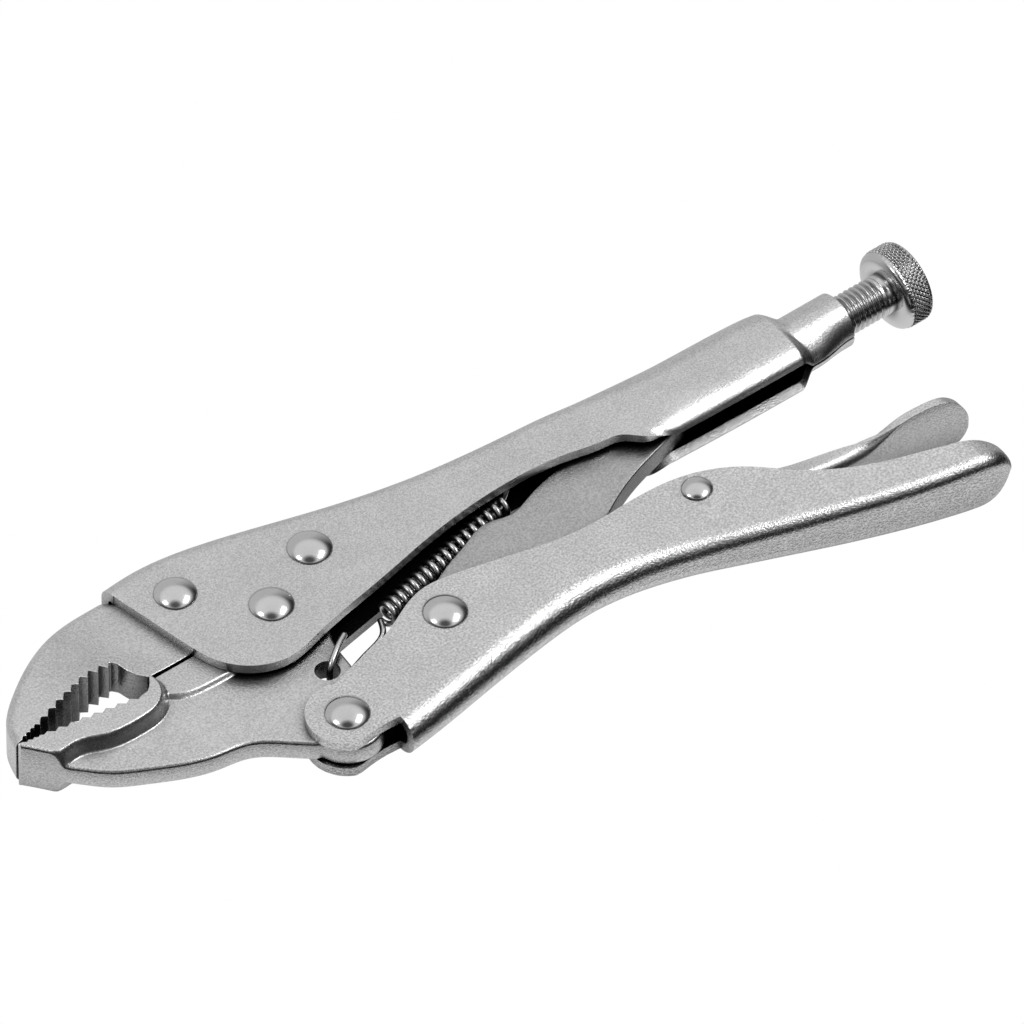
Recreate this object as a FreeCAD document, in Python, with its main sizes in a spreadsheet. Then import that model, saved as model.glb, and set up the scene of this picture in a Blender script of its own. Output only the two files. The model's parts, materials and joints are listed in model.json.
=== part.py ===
import FreeCAD, Part
import math
import os

# Locking pliers, curved-jaw, 250 mm class, lying on their side.
#
# The plan frame used by every outline below has its origin on the main jaw pivot,
# +X towards the knob along the adjusting screw, +Y towards the back of the fixed
# handle and +Z through the thickness, with z = 0 in the middle plane. Each sub-part's
# Placement moves that plan frame so that the row's origin is the centre of the
# bottom of the whole tool's box.

Vector = FreeCAD.Vector
doc = FreeCAD.newDocument("locking_pliers")

SIZES = {
    # where the plan frame sits in the row frame
    "frame_x": -54.25, "frame_y": 18.695, "mid_height": 9.90,
    # thicknesses through Z, all centred on the middle plane
    "handle_thick": 13.0, "channel_thick": 8.0, "rear_thick": 15.0, "slot_thick": 6.4,
    "cavity_thick": 10.8, "nose_thick": 13.4, "hub_thick": 7.8, "plate_thick": 5.6,
    "lever_thick": 10.6, "lever_channel_thick": 5.8, "lever_tail_thick": 15.8,
    "tail_channel_thick": 9.2, "link_thick": 5.6, "release_thick": 5.4,
    "release_channel_thick": 2.0, "thumb_pad_wide": 16.4, "tab_thick": 3.0,
    # pivots and rivets
    "front_rivet_x": -15.0, "front_rivet_y": 16.0, "rear_rivet_x": 17.5, "rear_rivet_y": 8.5,
    "main_pivot_x": 0.0, "main_pivot_y": 0.0, "lever_pivot_x": -6.5, "lever_pivot_y": -36.0,
    "link_pivot_x": 30.0, "link_pivot_y": -25.0, "release_pivot_x": 98.0,
    "release_pivot_y": -30.5, "rivet_radius": 3.0, "pin_radius": 2.0, "running_gap": 0.08,
    "rivet_head_radius": 5.2, "front_head_radius": 5.0, "pin_head_radius": 3.6,
    "rivet_head_high": 1.9, "pin_head_high": 1.2, "head_rim_high": 0.4,
    "hub_radius": 11.6, "fixed_jaw_gap": 0.7, "jaw_lug_radius": 8.6,
    "lever_lobe_radius": 9.6, "lever_wall": 2.4, "link_hub_radius": 8.4,
    "through_cut": 40.0, "trim_depth": 160.0, "trim_reach": 30.0,
    # spring
    "hook_hole_x": -1.0, "hook_hole_y": -21.5, "hook_hole_radius": 3.4,
    "coil_radius": 3.2, "wire_radius": 0.65,
    # adjusting screw, knob and the threaded tube at the end of the fixed handle
    "screw_y": -4.5, "screw_radius": 4.75, "screw_tip_x": 115.8, "screw_tip_chamfer": 1.2,
    "collar_radius": 4.9, "collar_long": 2.2, "knob_front_x": 172.6, "knob_radius": 9.9,
    "knob_long": 7.2, "knob_chamfer": 1.0, "tube_radius": 6.6, "tube_bore_radius": 4.85,
    "tube_start_x": 144.0, "tube_end_x": 159.0, "stub_radius": 3.0, "stub_long": 4.0,
    "outer_edge_round": 3.2, "lever_edge_round": 3.0, "rear_edge_round": 2.5,
}


def make_sheet():
    """The driving dimensions, in millimetres, one alias to a cell."""
    sheet = doc.addObject("Spreadsheet::Sheet", "Sizes")
    for row, (alias, value) in enumerate(SIZES.items(), start=1):
        sheet.set("A%d" % row, alias)
        sheet.set("B%d" % row, str(value))
        sheet.setAlias("B%d" % row, alias)
    doc.recompute()
    return sheet


sheet = make_sheet()


def size(alias):
    return float(sheet.get(alias))


def bind(thing, **links):
    """Bind properties to sheet expressions; "Base_x" stands for Placement.Base.x."""
    for name, expression in links.items():
        path = name.replace("Base_", "Placement.Base.")
        for alias in sorted(SIZES, key=len, reverse=True):
            expression = expression.replace("<%s>" % alias, "Sizes.%s" % alias)
        thing.setExpression(path, expression)


def new_body(label, x="0", y="0"):
    """A sub-part whose own origin is the plan point (x, y) in the middle plane."""
    body = doc.addObject("PartDesign::Body", label)
    body.Label = label
    bind(body, Base_x="<frame_x> + " + x, Base_y="<frame_y> + " + y, Base_z="<mid_height>")
    return body


def new_sketch(body, name, role="XY_Plane"):
    sketch = body.newObject("Sketcher::SketchObject", name)
    plane = [f for f in body.Origin.OriginFeatures if f.Role == role][0]
    sketch.AttachmentSupport = (plane, [""])
    sketch.MapMode = "FlatFace"
    return sketch


def arc_through(start, middle, end):
    """The arc of a circle through three points, always kept counter-clockwise."""
    circle = Part.Circle(start, middle, end)
    centre = circle.Center
    turn = (middle - start).cross(end - middle).z
    low, high = (start, end) if turn > 0 else (end, start)
    angles = [math.atan2(p.y - centre.y, p.x - centre.x) for p in (low, high)]
    if angles[1] < angles[0]:
        angles[1] += 2 * math.pi
    return Part.ArcOfCircle(Part.Circle(centre, Vector(0, 0, 1), circle.Radius), *angles)


def trace(sketch, *runs):
    """Draw a closed outline: each run starts where the run before it ended.

    A run is ("line", points), ("curve", points) for a smooth curve through its
    points, or ("arc", (middle point, end point)).
    """
    first = runs[0][1][0]
    here = Vector(first[0], first[1], 0)
    start = here
    for number, (kind, points) in enumerate(runs):
        stops = [Vector(x, y, 0) for x, y in points]
        if number == 0:
            stops = stops[1:]
        if kind == "line":
            for stop in stops:
                sketch.addGeometry(Part.LineSegment(here, stop), False)
                here = stop
        elif kind == "arc":
            sketch.addGeometry(arc_through(here, stops[0], stops[1]), False)
            here = stops[1]
        else:
            spline = Part.BSplineCurve()
            spline.interpolate([here] + stops)
            sketch.addGeometry(spline, False)
            here = stops[-1]
    if here.distanceToPoint(start) > 1e-6:
        sketch.addGeometry(Part.LineSegment(here, start), False)


def slab(body, name, thick, *runs, cut=False):
    """Pad or pocket an outline evenly both ways from the middle plane."""
    sketch = new_sketch(body, name + "_outline")
    trace(sketch, *runs)
    kind = "PartDesign::Pocket" if cut else "PartDesign::Pad"
    feature = body.newObject(kind, name)
    feature.Profile = sketch
    feature.SideType = "Symmetric"
    bind(feature, Length="<%s>" % thick)
    sketch.Visibility = False
    doc.recompute()
    return feature


def trim_width(body, name, widths):
    """Cut away what stands further out in Z than half-widths given as (x, half-width)."""
    sketch = new_sketch(body, name + "_outline", "XZ_Plane")
    reach = size("trim_reach")
    start_x = widths[0][0]
    end_x = widths[-1][0] + reach
    for side in (1, -1):
        edge = [(x, side * half) for x, half in widths]
        tip_z = edge[-1][1]
        trace(
            sketch,
            ("curve", edge),
            ("line", [(end_x, tip_z), (end_x, side * reach), (start_x, side * reach)]),
        )
    pocket = body.newObject("PartDesign::Pocket", name)
    pocket.Profile = sketch
    pocket.SideType = "Symmetric"
    bind(pocket, Length="<trim_depth>")
    sketch.Visibility = False
    doc.recompute()
    return pocket


def rod(body, name, x, y, radius, thick, cut=False):
    """A cylinder along Z, centred on the middle plane, added or cut."""
    kind = "PartDesign::SubtractiveCylinder" if cut else "PartDesign::AdditiveCylinder"
    feature = body.newObject(kind, name)
    bind(feature, Radius=radius, Height=thick, Base_x=x, Base_y=y, Base_z="-(%s) / 2" % thick)
    doc.recompute()
    return feature


def rod_along_x(body, name, x, long, radius, cut=False):
    """A cylinder along X on the screw's own line, added or cut."""
    kind = "PartDesign::SubtractiveCylinder" if cut else "PartDesign::AdditiveCylinder"
    feature = body.newObject(kind, name)
    feature.Placement = FreeCAD.Placement(Vector(), FreeCAD.Rotation(Vector(0, 1, 0), 90))
    bind(feature, Radius=radius, Height=long, Base_x=x, Base_y="<screw_y>")
    doc.recompute()
    return feature


def round_long_edges(body, name, radius, wanted):
    """Fillet the edges of the tip feature that wanted(edge) picks."""
    base = body.Tip
    edges = [
        "Edge%d" % (i + 1) for i, edge in enumerate(base.Shape.Edges)
        if wanted(edge)
    ]
    fillet = body.newObject("PartDesign::Fillet", name)
    fillet.Base = (base, edges)
    bind(fillet, Radius="<%s>" % radius)
    doc.recompute()
    return fillet


def make_rivet(label, x, y, radius, head_radius, thick, head_high):
    """A headed pin: a shank through the stack, with a low dome formed on each end."""
    body = new_body(label, "<%s>" % x, "<%s>" % y)
    shank = size(radius)
    head = size(head_radius)
    half = size(thick) / 2
    rim = half + size("head_rim_high")
    crown = half + size(head_high)
    ball = (head ** 2 + (crown - rim) ** 2) / (2 * (crown - rim))
    slope = (head / 2, crown - ball + math.sqrt(ball ** 2 - (head / 2) ** 2))
    sketch = new_sketch(body, "half_section", "XZ_Plane")
    trace(
        sketch,
        ("line", [(0, -crown)]),
        ("arc", [(slope[0], -slope[1]), (head, -rim)]),
        ("line", [(head, -half), (shank, -half), (shank, half), (head, half), (head, rim)]),
        ("arc", [slope, (0, crown)]),
    )
    turned = body.newObject("PartDesign::Revolution", "turned")
    turned.Profile = sketch
    turned.ReferenceAxis = (sketch, ["V_Axis"])
    turned.Angle = 360
    doc.recompute()
    return body


# ---- the fixed side -------------------------------------------------------------

HANDLE_BACK = [(-26.5, 28.3), (-18, 28.8), (0, 26.0), (25, 19.3), (50, 13.6), (80, 10.0),
               (115, 7.6), (138, 6.7), (147, 3.2)]
CHEEK_EDGE = [(-20.5, -5.5), (-17, -10.6), (-8, -15.2), (5, -13.0), (30, -7.4), (57, -3.5),
              (70, -3.2), (84, -5.0), (94, -7.4), (98.5, -13.0)]
SHEET_WALL = 2.5


def make_fixed_handle():
    """Folded sheet channel with a closed rear and a threaded tube at its end."""
    body = new_body("fixed_handle")
    slab(
        body, "cheeks", "handle_thick",
        ("curve", HANDLE_BACK),
        ("line", [(147, -11.5), (144, -13.5), (98.5, -13.0)]),
        ("curve", CHEEK_EDGE[-2::-1]),
        ("curve", [(-22.4, 1.5), (-24.5, 14.0), (-26.5, 28.3)]),
    )
    round_long_edges(
        body, "back_bend", "outer_edge_round",
        lambda e: abs(abs(e.CenterOfMass.z) - size("handle_thick") / 2) < 0.01
        and e.CenterOfMass.y > 7 and e.Length > 100,
    )
    slab(
        body, "rear_bulge", "rear_thick",
        ("curve", [(104, 7.0), (112, 7.7), (125, 7.2), (138, 6.6), (146, 3.6)]),
        ("line", [(147, -10.0), (143, -13.5), (104, -13.2), (104, 7.0)]),
    )
    round_long_edges(
        body, "rear_bend", "rear_edge_round",
        lambda e: abs(abs(e.CenterOfMass.z) - size("rear_thick") / 2) < 0.01
        and e.CenterOfMass.y > 5 and e.Length > 20,
    )
    slab(
        body, "channel", "channel_thick",
        ("curve", [(x, y - SHEET_WALL) for x, y in HANDLE_BACK[:7]]),
        ("line", [(115, -30), (-40, -30), (-40, 25.8), (-26.5, 25.8)]),
        cut=True,
    )
    slab(
        body, "rear_cavity", "cavity_thick",
        ("line", [(106, 5.0), (138, 4.0), (143, 1.0), (143, -10.6), (106, -10.6)]),
        cut=True,
    )
    slab(
        body, "rear_slot", "slot_thick",
        ("line", [(100, -8), (143, -8), (143, -20), (100, -20)]),
        cut=True,
    )
    rod_along_x(body, "tube", "<tube_start_x>", "<tube_end_x> - <tube_start_x>", "<tube_radius>")
    rod_along_x(
        body, "tube_bore", "<tube_start_x> - 10", "<tube_end_x> - <tube_start_x> + 12",
        "<tube_bore_radius>", cut=True,
    )
    slab(
        body, "spring_tab", "tab_thick",
        ("line", [(70, 9.5), (70, 2.0), (72, 2.0), (72, 9.3)]),
    )
    for pin in ("front_rivet", "rear_rivet", "main_pivot"):
        rod(body, pin + "_hole", "<%s_x>" % pin, "<%s_y>" % pin, "<rivet_radius>",
            "<through_cut>", cut=True)
    return body


def upper_tooth_line():
    """Tooth tips and roots of the fixed jaw from nose to throat, two points a tooth."""
    fine = []
    for i in range(4):
        x = -69.6 + 1.45 * i
        fine += [(x, 1.55 + 0.42 * i), (x + 0.8, 2.25 + 0.42 * i)]
    coarse = []
    for i in range(9):
        x = -63.6 + 2.95 * i
        tip = min(2.7 + 0.98 * i, 8.2)
        coarse += [(x, tip), (x + 1.6, tip + 1.75)]
    return fine + coarse


def lower_tooth_line():
    """Tooth tips and roots of the movable jaw from nose to the rear of its mouth."""
    fine = []
    for i in range(4):
        x = -69.9 + 1.45 * i
        fine += [(x, 1.0 - 0.2 * i), (x + 0.8, 0.45 - 0.2 * i)]
    coarse = []
    for i in range(8):
        x = -63.6 + 2.95 * i
        tip = 0.3 - 0.52 * i
        coarse += [(x, tip), (x + 1.5, tip - 1.2)]
    return fine + coarse


def make_fixed_jaw():
    """Forged jaw: a full-thickness toothed nose and a thinner tang inside the handle."""
    body = new_body("fixed_jaw")
    reach = size("hub_radius") + size("fixed_jaw_gap")
    slot_y = 1.3
    slot_x = -math.sqrt(reach ** 2 - slot_y ** 2)
    tang_end = (reach * math.cos(math.radians(8)), reach * math.sin(math.radians(8)))
    slab(
        body, "tang", "channel_thick",
        ("curve", [(-48.0, 22.6), (-41.5, 24.9), (-34.0, 25.8), (-26.5, 25.2), (-18, 25.7),
                   (0, 23.0), (24, 16.3)]),
        ("line", [(26.5, 6.0), (22.0, 2.2), tang_end]),
        ("arc", [(0, reach), (slot_x, slot_y)]),
        ("line", [(-34.4, slot_y), (-35.2, 3.0), (-36.6, 5.2), (-36.9, 7.9), (-40.5, 11.0),
                  (-46.0, 16.0)]),
    )
    slab(
        body, "nose", "nose_thick",
        ("curve", [(-71.3, 1.8), (-69.2, 7.8), (-63.0, 14.2), (-54.0, 20.2), (-45.0, 24.4)]),
        ("curve", [(-41.0, 17.0), (-36.7, 7.7)]),
        ("line", upper_tooth_line()[::-1]),
    )
    for pin in ("front_rivet", "rear_rivet"):
        rod(body, pin + "_hole", "<%s_x>" % pin, "<%s_y>" % pin, "<rivet_radius>",
            "<through_cut>", cut=True)
    return body


# ---- the movable jaw ------------------------------------------------------------

def make_movable_jaw():
    """Forged jaw: toothed lip, thin plate with a spring hole, hub and lever lug."""
    body = new_body("movable_jaw")
    hub = size("hub_radius")
    lug_x = size("lever_pivot_x")
    lug_y = size("lever_pivot_y")
    lug = size("jaw_lug_radius")
    slab(
        body, "plate", "plate_thick",
        ("line", [(-36.0, 0.3), (-hub, 0.3), (0, hub - 1), (hub - 1.5, 0), (10.5, -5.0)]),
        ("curve", [(6.6, -14.0), (5.4, -19.0), (3.2, -29.0), (lug_x + lug, lug_y)]),
        ("arc", [(lug_x, lug_y - lug), (lug_x - lug, lug_y + 1)]),
        ("curve", [(-20.5, -33.6), (-27.5, -28.5), (-36, -26.5), (-50, -20.6), (-60, -13.7),
                   (-66.5, -6.0), (-70.9, 0.3)]),
        ("line", lower_tooth_line()[:8] + [(-63, -3), (-40, -5)]),
    )
    slab(
        body, "toothed_lip", "nose_thick",
        ("line", [(-71.0, 1.2)] + lower_tooth_line()),
        ("curve", [(-38.3, -3.9), (-36.8, -2.6), (-35.2, -0.9), (-34.3, -2.0), (-35.2, -6.0),
                   (-39.5, -9.0), (-45.0, -9.6), (-53.5, -8.8), (-60.0, -6.4), (-66.2, -6.4),
                   (-69.6, -2.6), (-71.0, 1.2)]),
    )
    slab(
        body, "pad", "hub_thick",
        ("line", [(-36.0, 0.3), (-10, 0.3), (-10, -9.0), (-20, -9.0), (-28, -8.6),
                  (-36.0, -5.5)]),
    )
    rod(body, "hub", "0", "0", "<hub_radius>", "<hub_thick>")
    rod(body, "pivot_bore", "0", "0", "<rivet_radius> + <running_gap>", "<through_cut>",
        cut=True)
    rod(body, "lug_bore", "<lever_pivot_x>", "<lever_pivot_y>", "<rivet_radius> + <running_gap>",
        "<through_cut>", cut=True)
    rod(body, "hook_hole", "<hook_hole_x>", "<hook_hole_y>", "<hook_hole_radius>",
        "<through_cut>", cut=True)
    return body


# ---- the lever side -------------------------------------------------------------

LEVER_TOP = [(-2.0, -27.6), (5, -25.4), (17, -21.6), (26, -17.4), (32, -16.2), (45, -18.3),
             (60, -22.4), (75, -24.0), (90, -24.0), (100, -26.0), (110, -32.0), (114, -35.7)]
LEVER_BACK = [(114, -54.8), (100, -49.8), (80, -43.2), (63, -40.6), (45, -42.0),
              (25, -45.4), (8, -48.4), (1.5, -49.2)]
TAIL_WIDTHS = [(106, 5.7), (114, 6.1), (130, 7.0), (146, 7.8), (153, 7.85), (158, 6.6),
               (161, 3.4), (161.8, 0.6)]


def make_lever_handle():
    """Folded sheet channel, open towards the fixed handle, flared to a spoon at its tail."""
    body = new_body("lever_handle")
    lug_x = size("lever_pivot_x")
    lug_y = size("lever_pivot_y")
    lobe = size("lever_lobe_radius")
    wall = size("lever_wall")
    slab(
        body, "cheeks", "lever_thick",
        ("curve", LEVER_TOP),
        ("line", [LEVER_BACK[0]]),
        ("curve", LEVER_BACK[1:]),
        ("line", [(2.2, -47.0)]),
        ("curve", [(0.5, -44.2), (-3.5, -43.9), (lug_x - 3.6, lug_y - 8.9)]),
        ("arc", [(lug_x - lobe, lug_y), (-2.0, -27.6)]),
    )
    round_long_edges(
        body, "back_bend", "lever_edge_round",
        lambda e: abs(abs(e.CenterOfMass.z) - size("lever_thick") / 2) < 0.01
        and e.Length > 90 and e.BoundBox.YMax < -39,
    )
    slab(
        body, "tail", "lever_tail_thick",
        ("curve", [(109, -32.6), (114, -36.4), (120, -41.5), (135, -51.0), (150, -56.6),
                   (159, -58.8)]),
        ("arc", [(161.6, -62.8), (157.5, -66.2)]),
        ("curve", [(150, -65.6), (135, -61.8), (120, -57.0), (114, -54.1), (109, -51.8)]),
    )
    slab(
        body, "channel", "lever_channel_thick",
        ("curve", [(x, y + wall) for x, y in [(118, -56.2)] + LEVER_BACK[1:]]),
        ("line", [(-30, -60), (-30, 0), (118, 0)]),
        cut=True,
    )
    slab(
        body, "tail_channel", "tail_channel_thick",
        ("curve", [(150.5, -62.5), (135, -58.8), (120, -54.0), (115, -52.3)]),
        ("line", [(115, 0), (158.4, 0), (158.4, -60.0), (150.5, -62.5)]),
        cut=True,
    )
    trim_width(body, "tail_flare", TAIL_WIDTHS)
    for pin, radius in (("lever_pivot", "rivet"), ("link_pivot", "rivet"),
                        ("release_pivot", "pin")):
        rod(body, pin + "_hole", "<%s_x>" % pin, "<%s_y>" % pin, "<%s_radius>" % radius,
            "<through_cut>", cut=True)
    return body


def make_toggle_link():
    """Flat link from the lever to the tip of the adjusting screw."""
    body = new_body("toggle_link")
    hub_x = size("link_pivot_x")
    hub_y = size("link_pivot_y")
    hub = size("link_hub_radius")
    slab(
        body, "plate", "link_thick",
        ("curve", [(hub_x - 3.4, hub_y + 7.7), (33.7, -15.4), (44, -12.4), (55, -10.3)]),
        ("curve", [(58.5, -12.0), (62.5, -12.6), (67.5, -9.6), (72.5, -5.6), (80, -3.8),
                   (96, -1.8), (108, -0.6)]),
        ("arc", [(112.0, -5.5), (109.5, -11.0)]),
        ("curve", [(103, -12.6), (94, -15.2), (84, -19.4), (74, -24.6), (58, -29.0),
                   (44, -32.4), (hub_x + 1, hub_y - hub)]),
        ("arc", [(hub_x - hub, hub_y), (hub_x - 3.4, hub_y + 7.7)]),
    )
    rod(body, "pivot_bore", "<link_pivot_x>", "<link_pivot_y>", "<rivet_radius> + <running_gap>",
        "<through_cut>", cut=True)
    return body


RELEASE_BACK = [(91, -31.5), (97, -35.0), (104, -36.2), (112, -37.9), (121, -40.3),
                (132, -42.0), (138, -42.7)]
PAD_WIDTHS = [(119, 2.8), (126, 2.9), (132, 3.2), (138, 4.2), (142, 5.2), (147, 6.4), (152, 7.7),
              (156.5, 8.2), (160, 6.9), (162.2, 3.8), (162.9, 0.6)]


def make_release_lever():
    """Small folded lever inside the handle, opening out into a wide oval thumb pad."""
    body = new_body("release_lever")
    slab(
        body, "cheeks", "release_thick",
        ("line", [(86.5, -25.4), (92, -26.6)]),
        ("curve", [(98, -26.0), (106, -28.4), (113, -32.4), (121, -35.4), (132, -37.8),
                   (138, -40.8)]),
        ("line", [(138, -42.7)]),
        ("curve", RELEASE_BACK[-2::-1]),
        ("line", [(86.5, -28.0)]),
    )
    slab(
        body, "fold", "release_channel_thick",
        ("line", [(84, -20), (84, -33.0), (97, -33.0)]),
        ("curve", [(104, -34.2), (112, -35.9), (121, -38.3), (131, -39.9)]),
        ("line", [(131, -20)]),
        cut=True,
    )
    slab(
        body, "thumb_pad", "thumb_pad_wide",
        ("curve", [(121, -38.4), (132, -40.1), (140, -40.9), (147, -41.7), (152, -42.8),
                   (157, -43.9), (162.4, -45.8)]),
        ("arc", [(162.9, -46.9), (162.2, -47.8)]),
        ("curve", [(157, -45.8), (152, -44.7), (147, -43.6), (140, -42.8), (132, -41.9),
                   (121, -40.2)]),
    )
    trim_width(body, "pad_outline", PAD_WIDTHS)
    rod(body, "pin_bore", "<release_pivot_x>", "<release_pivot_y>",
        "<pin_radius> + <running_gap>", "<through_cut>", cut=True)
    return body


# ---- the spring -----------------------------------------------------------------

COIL_FRONT = Vector(21.5, -13.9, 0)
COIL_REAR = Vector(62.0, -3.7, 0)


def make_spring():
    """Extension spring: its coil as one closed cylinder, with a wire hook at each end."""
    coil = Part.makeCylinder(
        size("coil_radius"), (COIL_REAR - COIL_FRONT).Length, COIL_FRONT, COIL_REAR - COIL_FRONT)
    hole = Vector(size("hook_hole_x") + 1.6, size("hook_hole_y") + 0.6, 0)
    under = -(size("plate_thick") / 2 + 1.2)
    front_leg = [Vector(22.5, -14.6, -1.6), Vector(10.0, -18.4, under),
                 Vector(hole.x, hole.y, under), Vector(hole.x, hole.y, -under),
                 Vector(7.6, -16.4, -under + 0.4)]
    rear_leg = [Vector(61.0, -3.9, 2.0), Vector(66.0, -0.5, 2.3), Vector(70.6, 4.4, 2.3)]
    solid = coil
    for leg in (front_leg, rear_leg):
        for a, b in zip(leg[:-1], leg[1:]):
            wire = Part.makeCylinder(size("wire_radius"), (b - a).Length, a, b - a)
            solid = solid.fuse(wire).fuse(Part.makeSphere(size("wire_radius") * 1.1, b))
    feature = doc.addObject("Part::Feature", "spring")
    feature.Label = "spring"
    feature.Shape = solid
    bind(feature, Base_x="<frame_x>", Base_y="<frame_y>", Base_z="<mid_height>")
    return feature


# ---- the adjusting screw ----------------------------------------------------------

def turned_along_x(label, profile):
    """A body of revolution about the screw's line, from (x, radius) points."""
    body = new_body(label, "0", "<screw_y>")
    sketch = new_sketch(body, "half_section")
    trace(sketch, ("line", profile))
    turned = body.newObject("PartDesign::Revolution", "turned")
    turned.Profile = sketch
    turned.ReferenceAxis = (sketch, ["H_Axis"])
    turned.Angle = 360
    doc.recompute()
    return body


def make_adjusting_screw():
    """Threaded rod at its major diameter, with a collar and a stub for the knob."""
    tip = size("screw_tip_x")
    bevel = size("screw_tip_chamfer")
    face = size("knob_front_x")
    radius = size("screw_radius")
    return turned_along_x("adjusting_screw", [
        (tip, 0), (tip, radius - bevel), (tip + bevel, radius),
        (face - size("collar_long"), radius),
        (face - size("collar_long"), size("collar_radius")), (face, size("collar_radius")),
        (face, size("stub_radius")), (face + size("stub_long"), size("stub_radius")),
        (face + size("stub_long"), 0),
    ])


def make_screw_knob():
    """Round knob on the screw's stub, chamfered on both faces."""
    face = size("knob_front_x")
    rear = face + size("knob_long")
    radius = size("knob_radius")
    bevel = size("knob_chamfer")
    socket = size("stub_radius") + size("running_gap")
    floor = face + size("stub_long") + size("running_gap")
    front = face + size("running_gap")
    return turned_along_x("screw_knob", [
        (floor, 0), (floor, socket), (front, socket), (front, radius - bevel),
        (face + bevel, radius), (rear - bevel, radius), (rear, radius - bevel), (rear, 0),
    ])


def make_parts():
    """Every sub-part, in the order the tool goes together."""
    parts = [make_fixed_handle(), make_fixed_jaw(), make_movable_jaw(), make_lever_handle(),
             make_toggle_link(), make_release_lever(), make_spring(), make_adjusting_screw(),
             make_screw_knob()]
    stack = (
        ("front_jaw_rivet", "front_rivet", "rivet_radius", "front_head_radius", "handle_thick"),
        ("rear_jaw_rivet", "rear_rivet", "rivet_radius", "rivet_head_radius", "handle_thick"),
        ("main_pivot_rivet", "main_pivot", "rivet_radius", "rivet_head_radius", "handle_thick"),
        ("lever_pivot_rivet", "lever_pivot", "rivet_radius", "rivet_head_radius", "lever_thick"),
        ("link_pivot_rivet", "link_pivot", "rivet_radius", "rivet_head_radius", "lever_thick"),
        ("release_pin", "release_pivot", "pin_radius", "pin_head_radius", "lever_thick"),
    )
    for label, place, radius, head, thick in stack:
        high = "pin_head_high" if label == "release_pin" else "rivet_head_high"
        parts.append(make_rivet(label, place + "_x", place + "_y", radius, head, thick, high))
    return parts


def check_and_write(parts):
    """Stop on any failed object or bad solid, then write one STEP file a sub-part."""
    doc.recompute()
    for thing in doc.Objects:
        if "Invalid" in thing.State or "Error" in thing.State:
            raise RuntimeError("%s is %s" % (thing.Name, thing.State))
    for part in parts:
        if part.Shape.isNull() or not part.Shape.isValid():
            raise RuntimeError("%s has no valid shape" % part.Label)
    os.makedirs("parts", exist_ok=True)
    whole = FreeCAD.BoundBox()
    for part in parts:
        part.Shape.exportStep("parts/%s.step" % part.Label)
        whole.add(part.Shape.optimalBoundingBox(False))
        print("%-18s %2d solid %10.1f mm3" % (
            part.Label, len(part.Shape.Solids), part.Shape.Volume))
    print("box X %.2f..%.2f Y %.2f..%.2f Z %.2f..%.2f" % (
        whole.XMin, whole.XMax, whole.YMin, whole.YMax, whole.ZMin, whole.ZMax))


check_and_write(make_parts())
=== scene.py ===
import json
import math

import bmesh
import bpy
import numpy as np
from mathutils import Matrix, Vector


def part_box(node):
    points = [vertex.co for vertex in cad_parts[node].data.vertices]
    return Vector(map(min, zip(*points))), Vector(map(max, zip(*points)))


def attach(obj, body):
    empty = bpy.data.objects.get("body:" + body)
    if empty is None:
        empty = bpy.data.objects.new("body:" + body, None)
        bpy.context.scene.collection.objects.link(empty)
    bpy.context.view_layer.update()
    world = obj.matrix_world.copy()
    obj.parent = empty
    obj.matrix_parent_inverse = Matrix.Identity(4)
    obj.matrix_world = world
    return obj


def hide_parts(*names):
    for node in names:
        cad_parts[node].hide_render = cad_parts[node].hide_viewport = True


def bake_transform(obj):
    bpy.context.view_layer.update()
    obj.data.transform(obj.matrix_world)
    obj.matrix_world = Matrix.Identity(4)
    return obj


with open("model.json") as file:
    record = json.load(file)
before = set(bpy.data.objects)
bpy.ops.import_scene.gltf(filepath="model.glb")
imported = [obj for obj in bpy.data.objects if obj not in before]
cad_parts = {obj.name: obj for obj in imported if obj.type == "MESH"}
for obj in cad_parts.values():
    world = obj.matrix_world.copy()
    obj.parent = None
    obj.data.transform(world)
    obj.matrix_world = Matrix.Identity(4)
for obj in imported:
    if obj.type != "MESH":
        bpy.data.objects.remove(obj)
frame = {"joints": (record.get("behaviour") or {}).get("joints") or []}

bl_info = {
    "name": "Locking pliers",
    "version": (1, 0, 0),
    "blender": (4, 5, 0),
    "location": "View3D > Sidebar > Pliers",
    "description": "Builds the plated steel looks of curved-jaw locking pliers around their frame",
    "category": "Object",
}

# Plan frame: x towards the knob, y towards the back of the fixed handle, z up from the
# middle plane, in millimetres, with its origin on the main jaw pivot.
MM = 0.001
JOINTS = {joint["name"]: joint for joint in frame["joints"]}
MAIN_PIVOT = np.array(JOINTS["jaw_pivot"]["pos_m"])
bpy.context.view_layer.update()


def plan_of(joint):
    """A hinge's own place in the plan frame, in millimetres."""
    return (np.array(JOINTS[joint]["pos_m"]) - MAIN_PIVOT) / MM


def plan_box(node):
    """Lowest and highest corner of a node in the plan frame, in millimetres."""
    return [(np.array(corner) - MAIN_PIVOT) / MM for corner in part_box(node)]


def to_row(points):
    """Plan millimetres to row metres."""
    return MAIN_PIVOT + MM * np.asarray(points, float)


# ---- curves ------------------------------------------------------------------------

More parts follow.
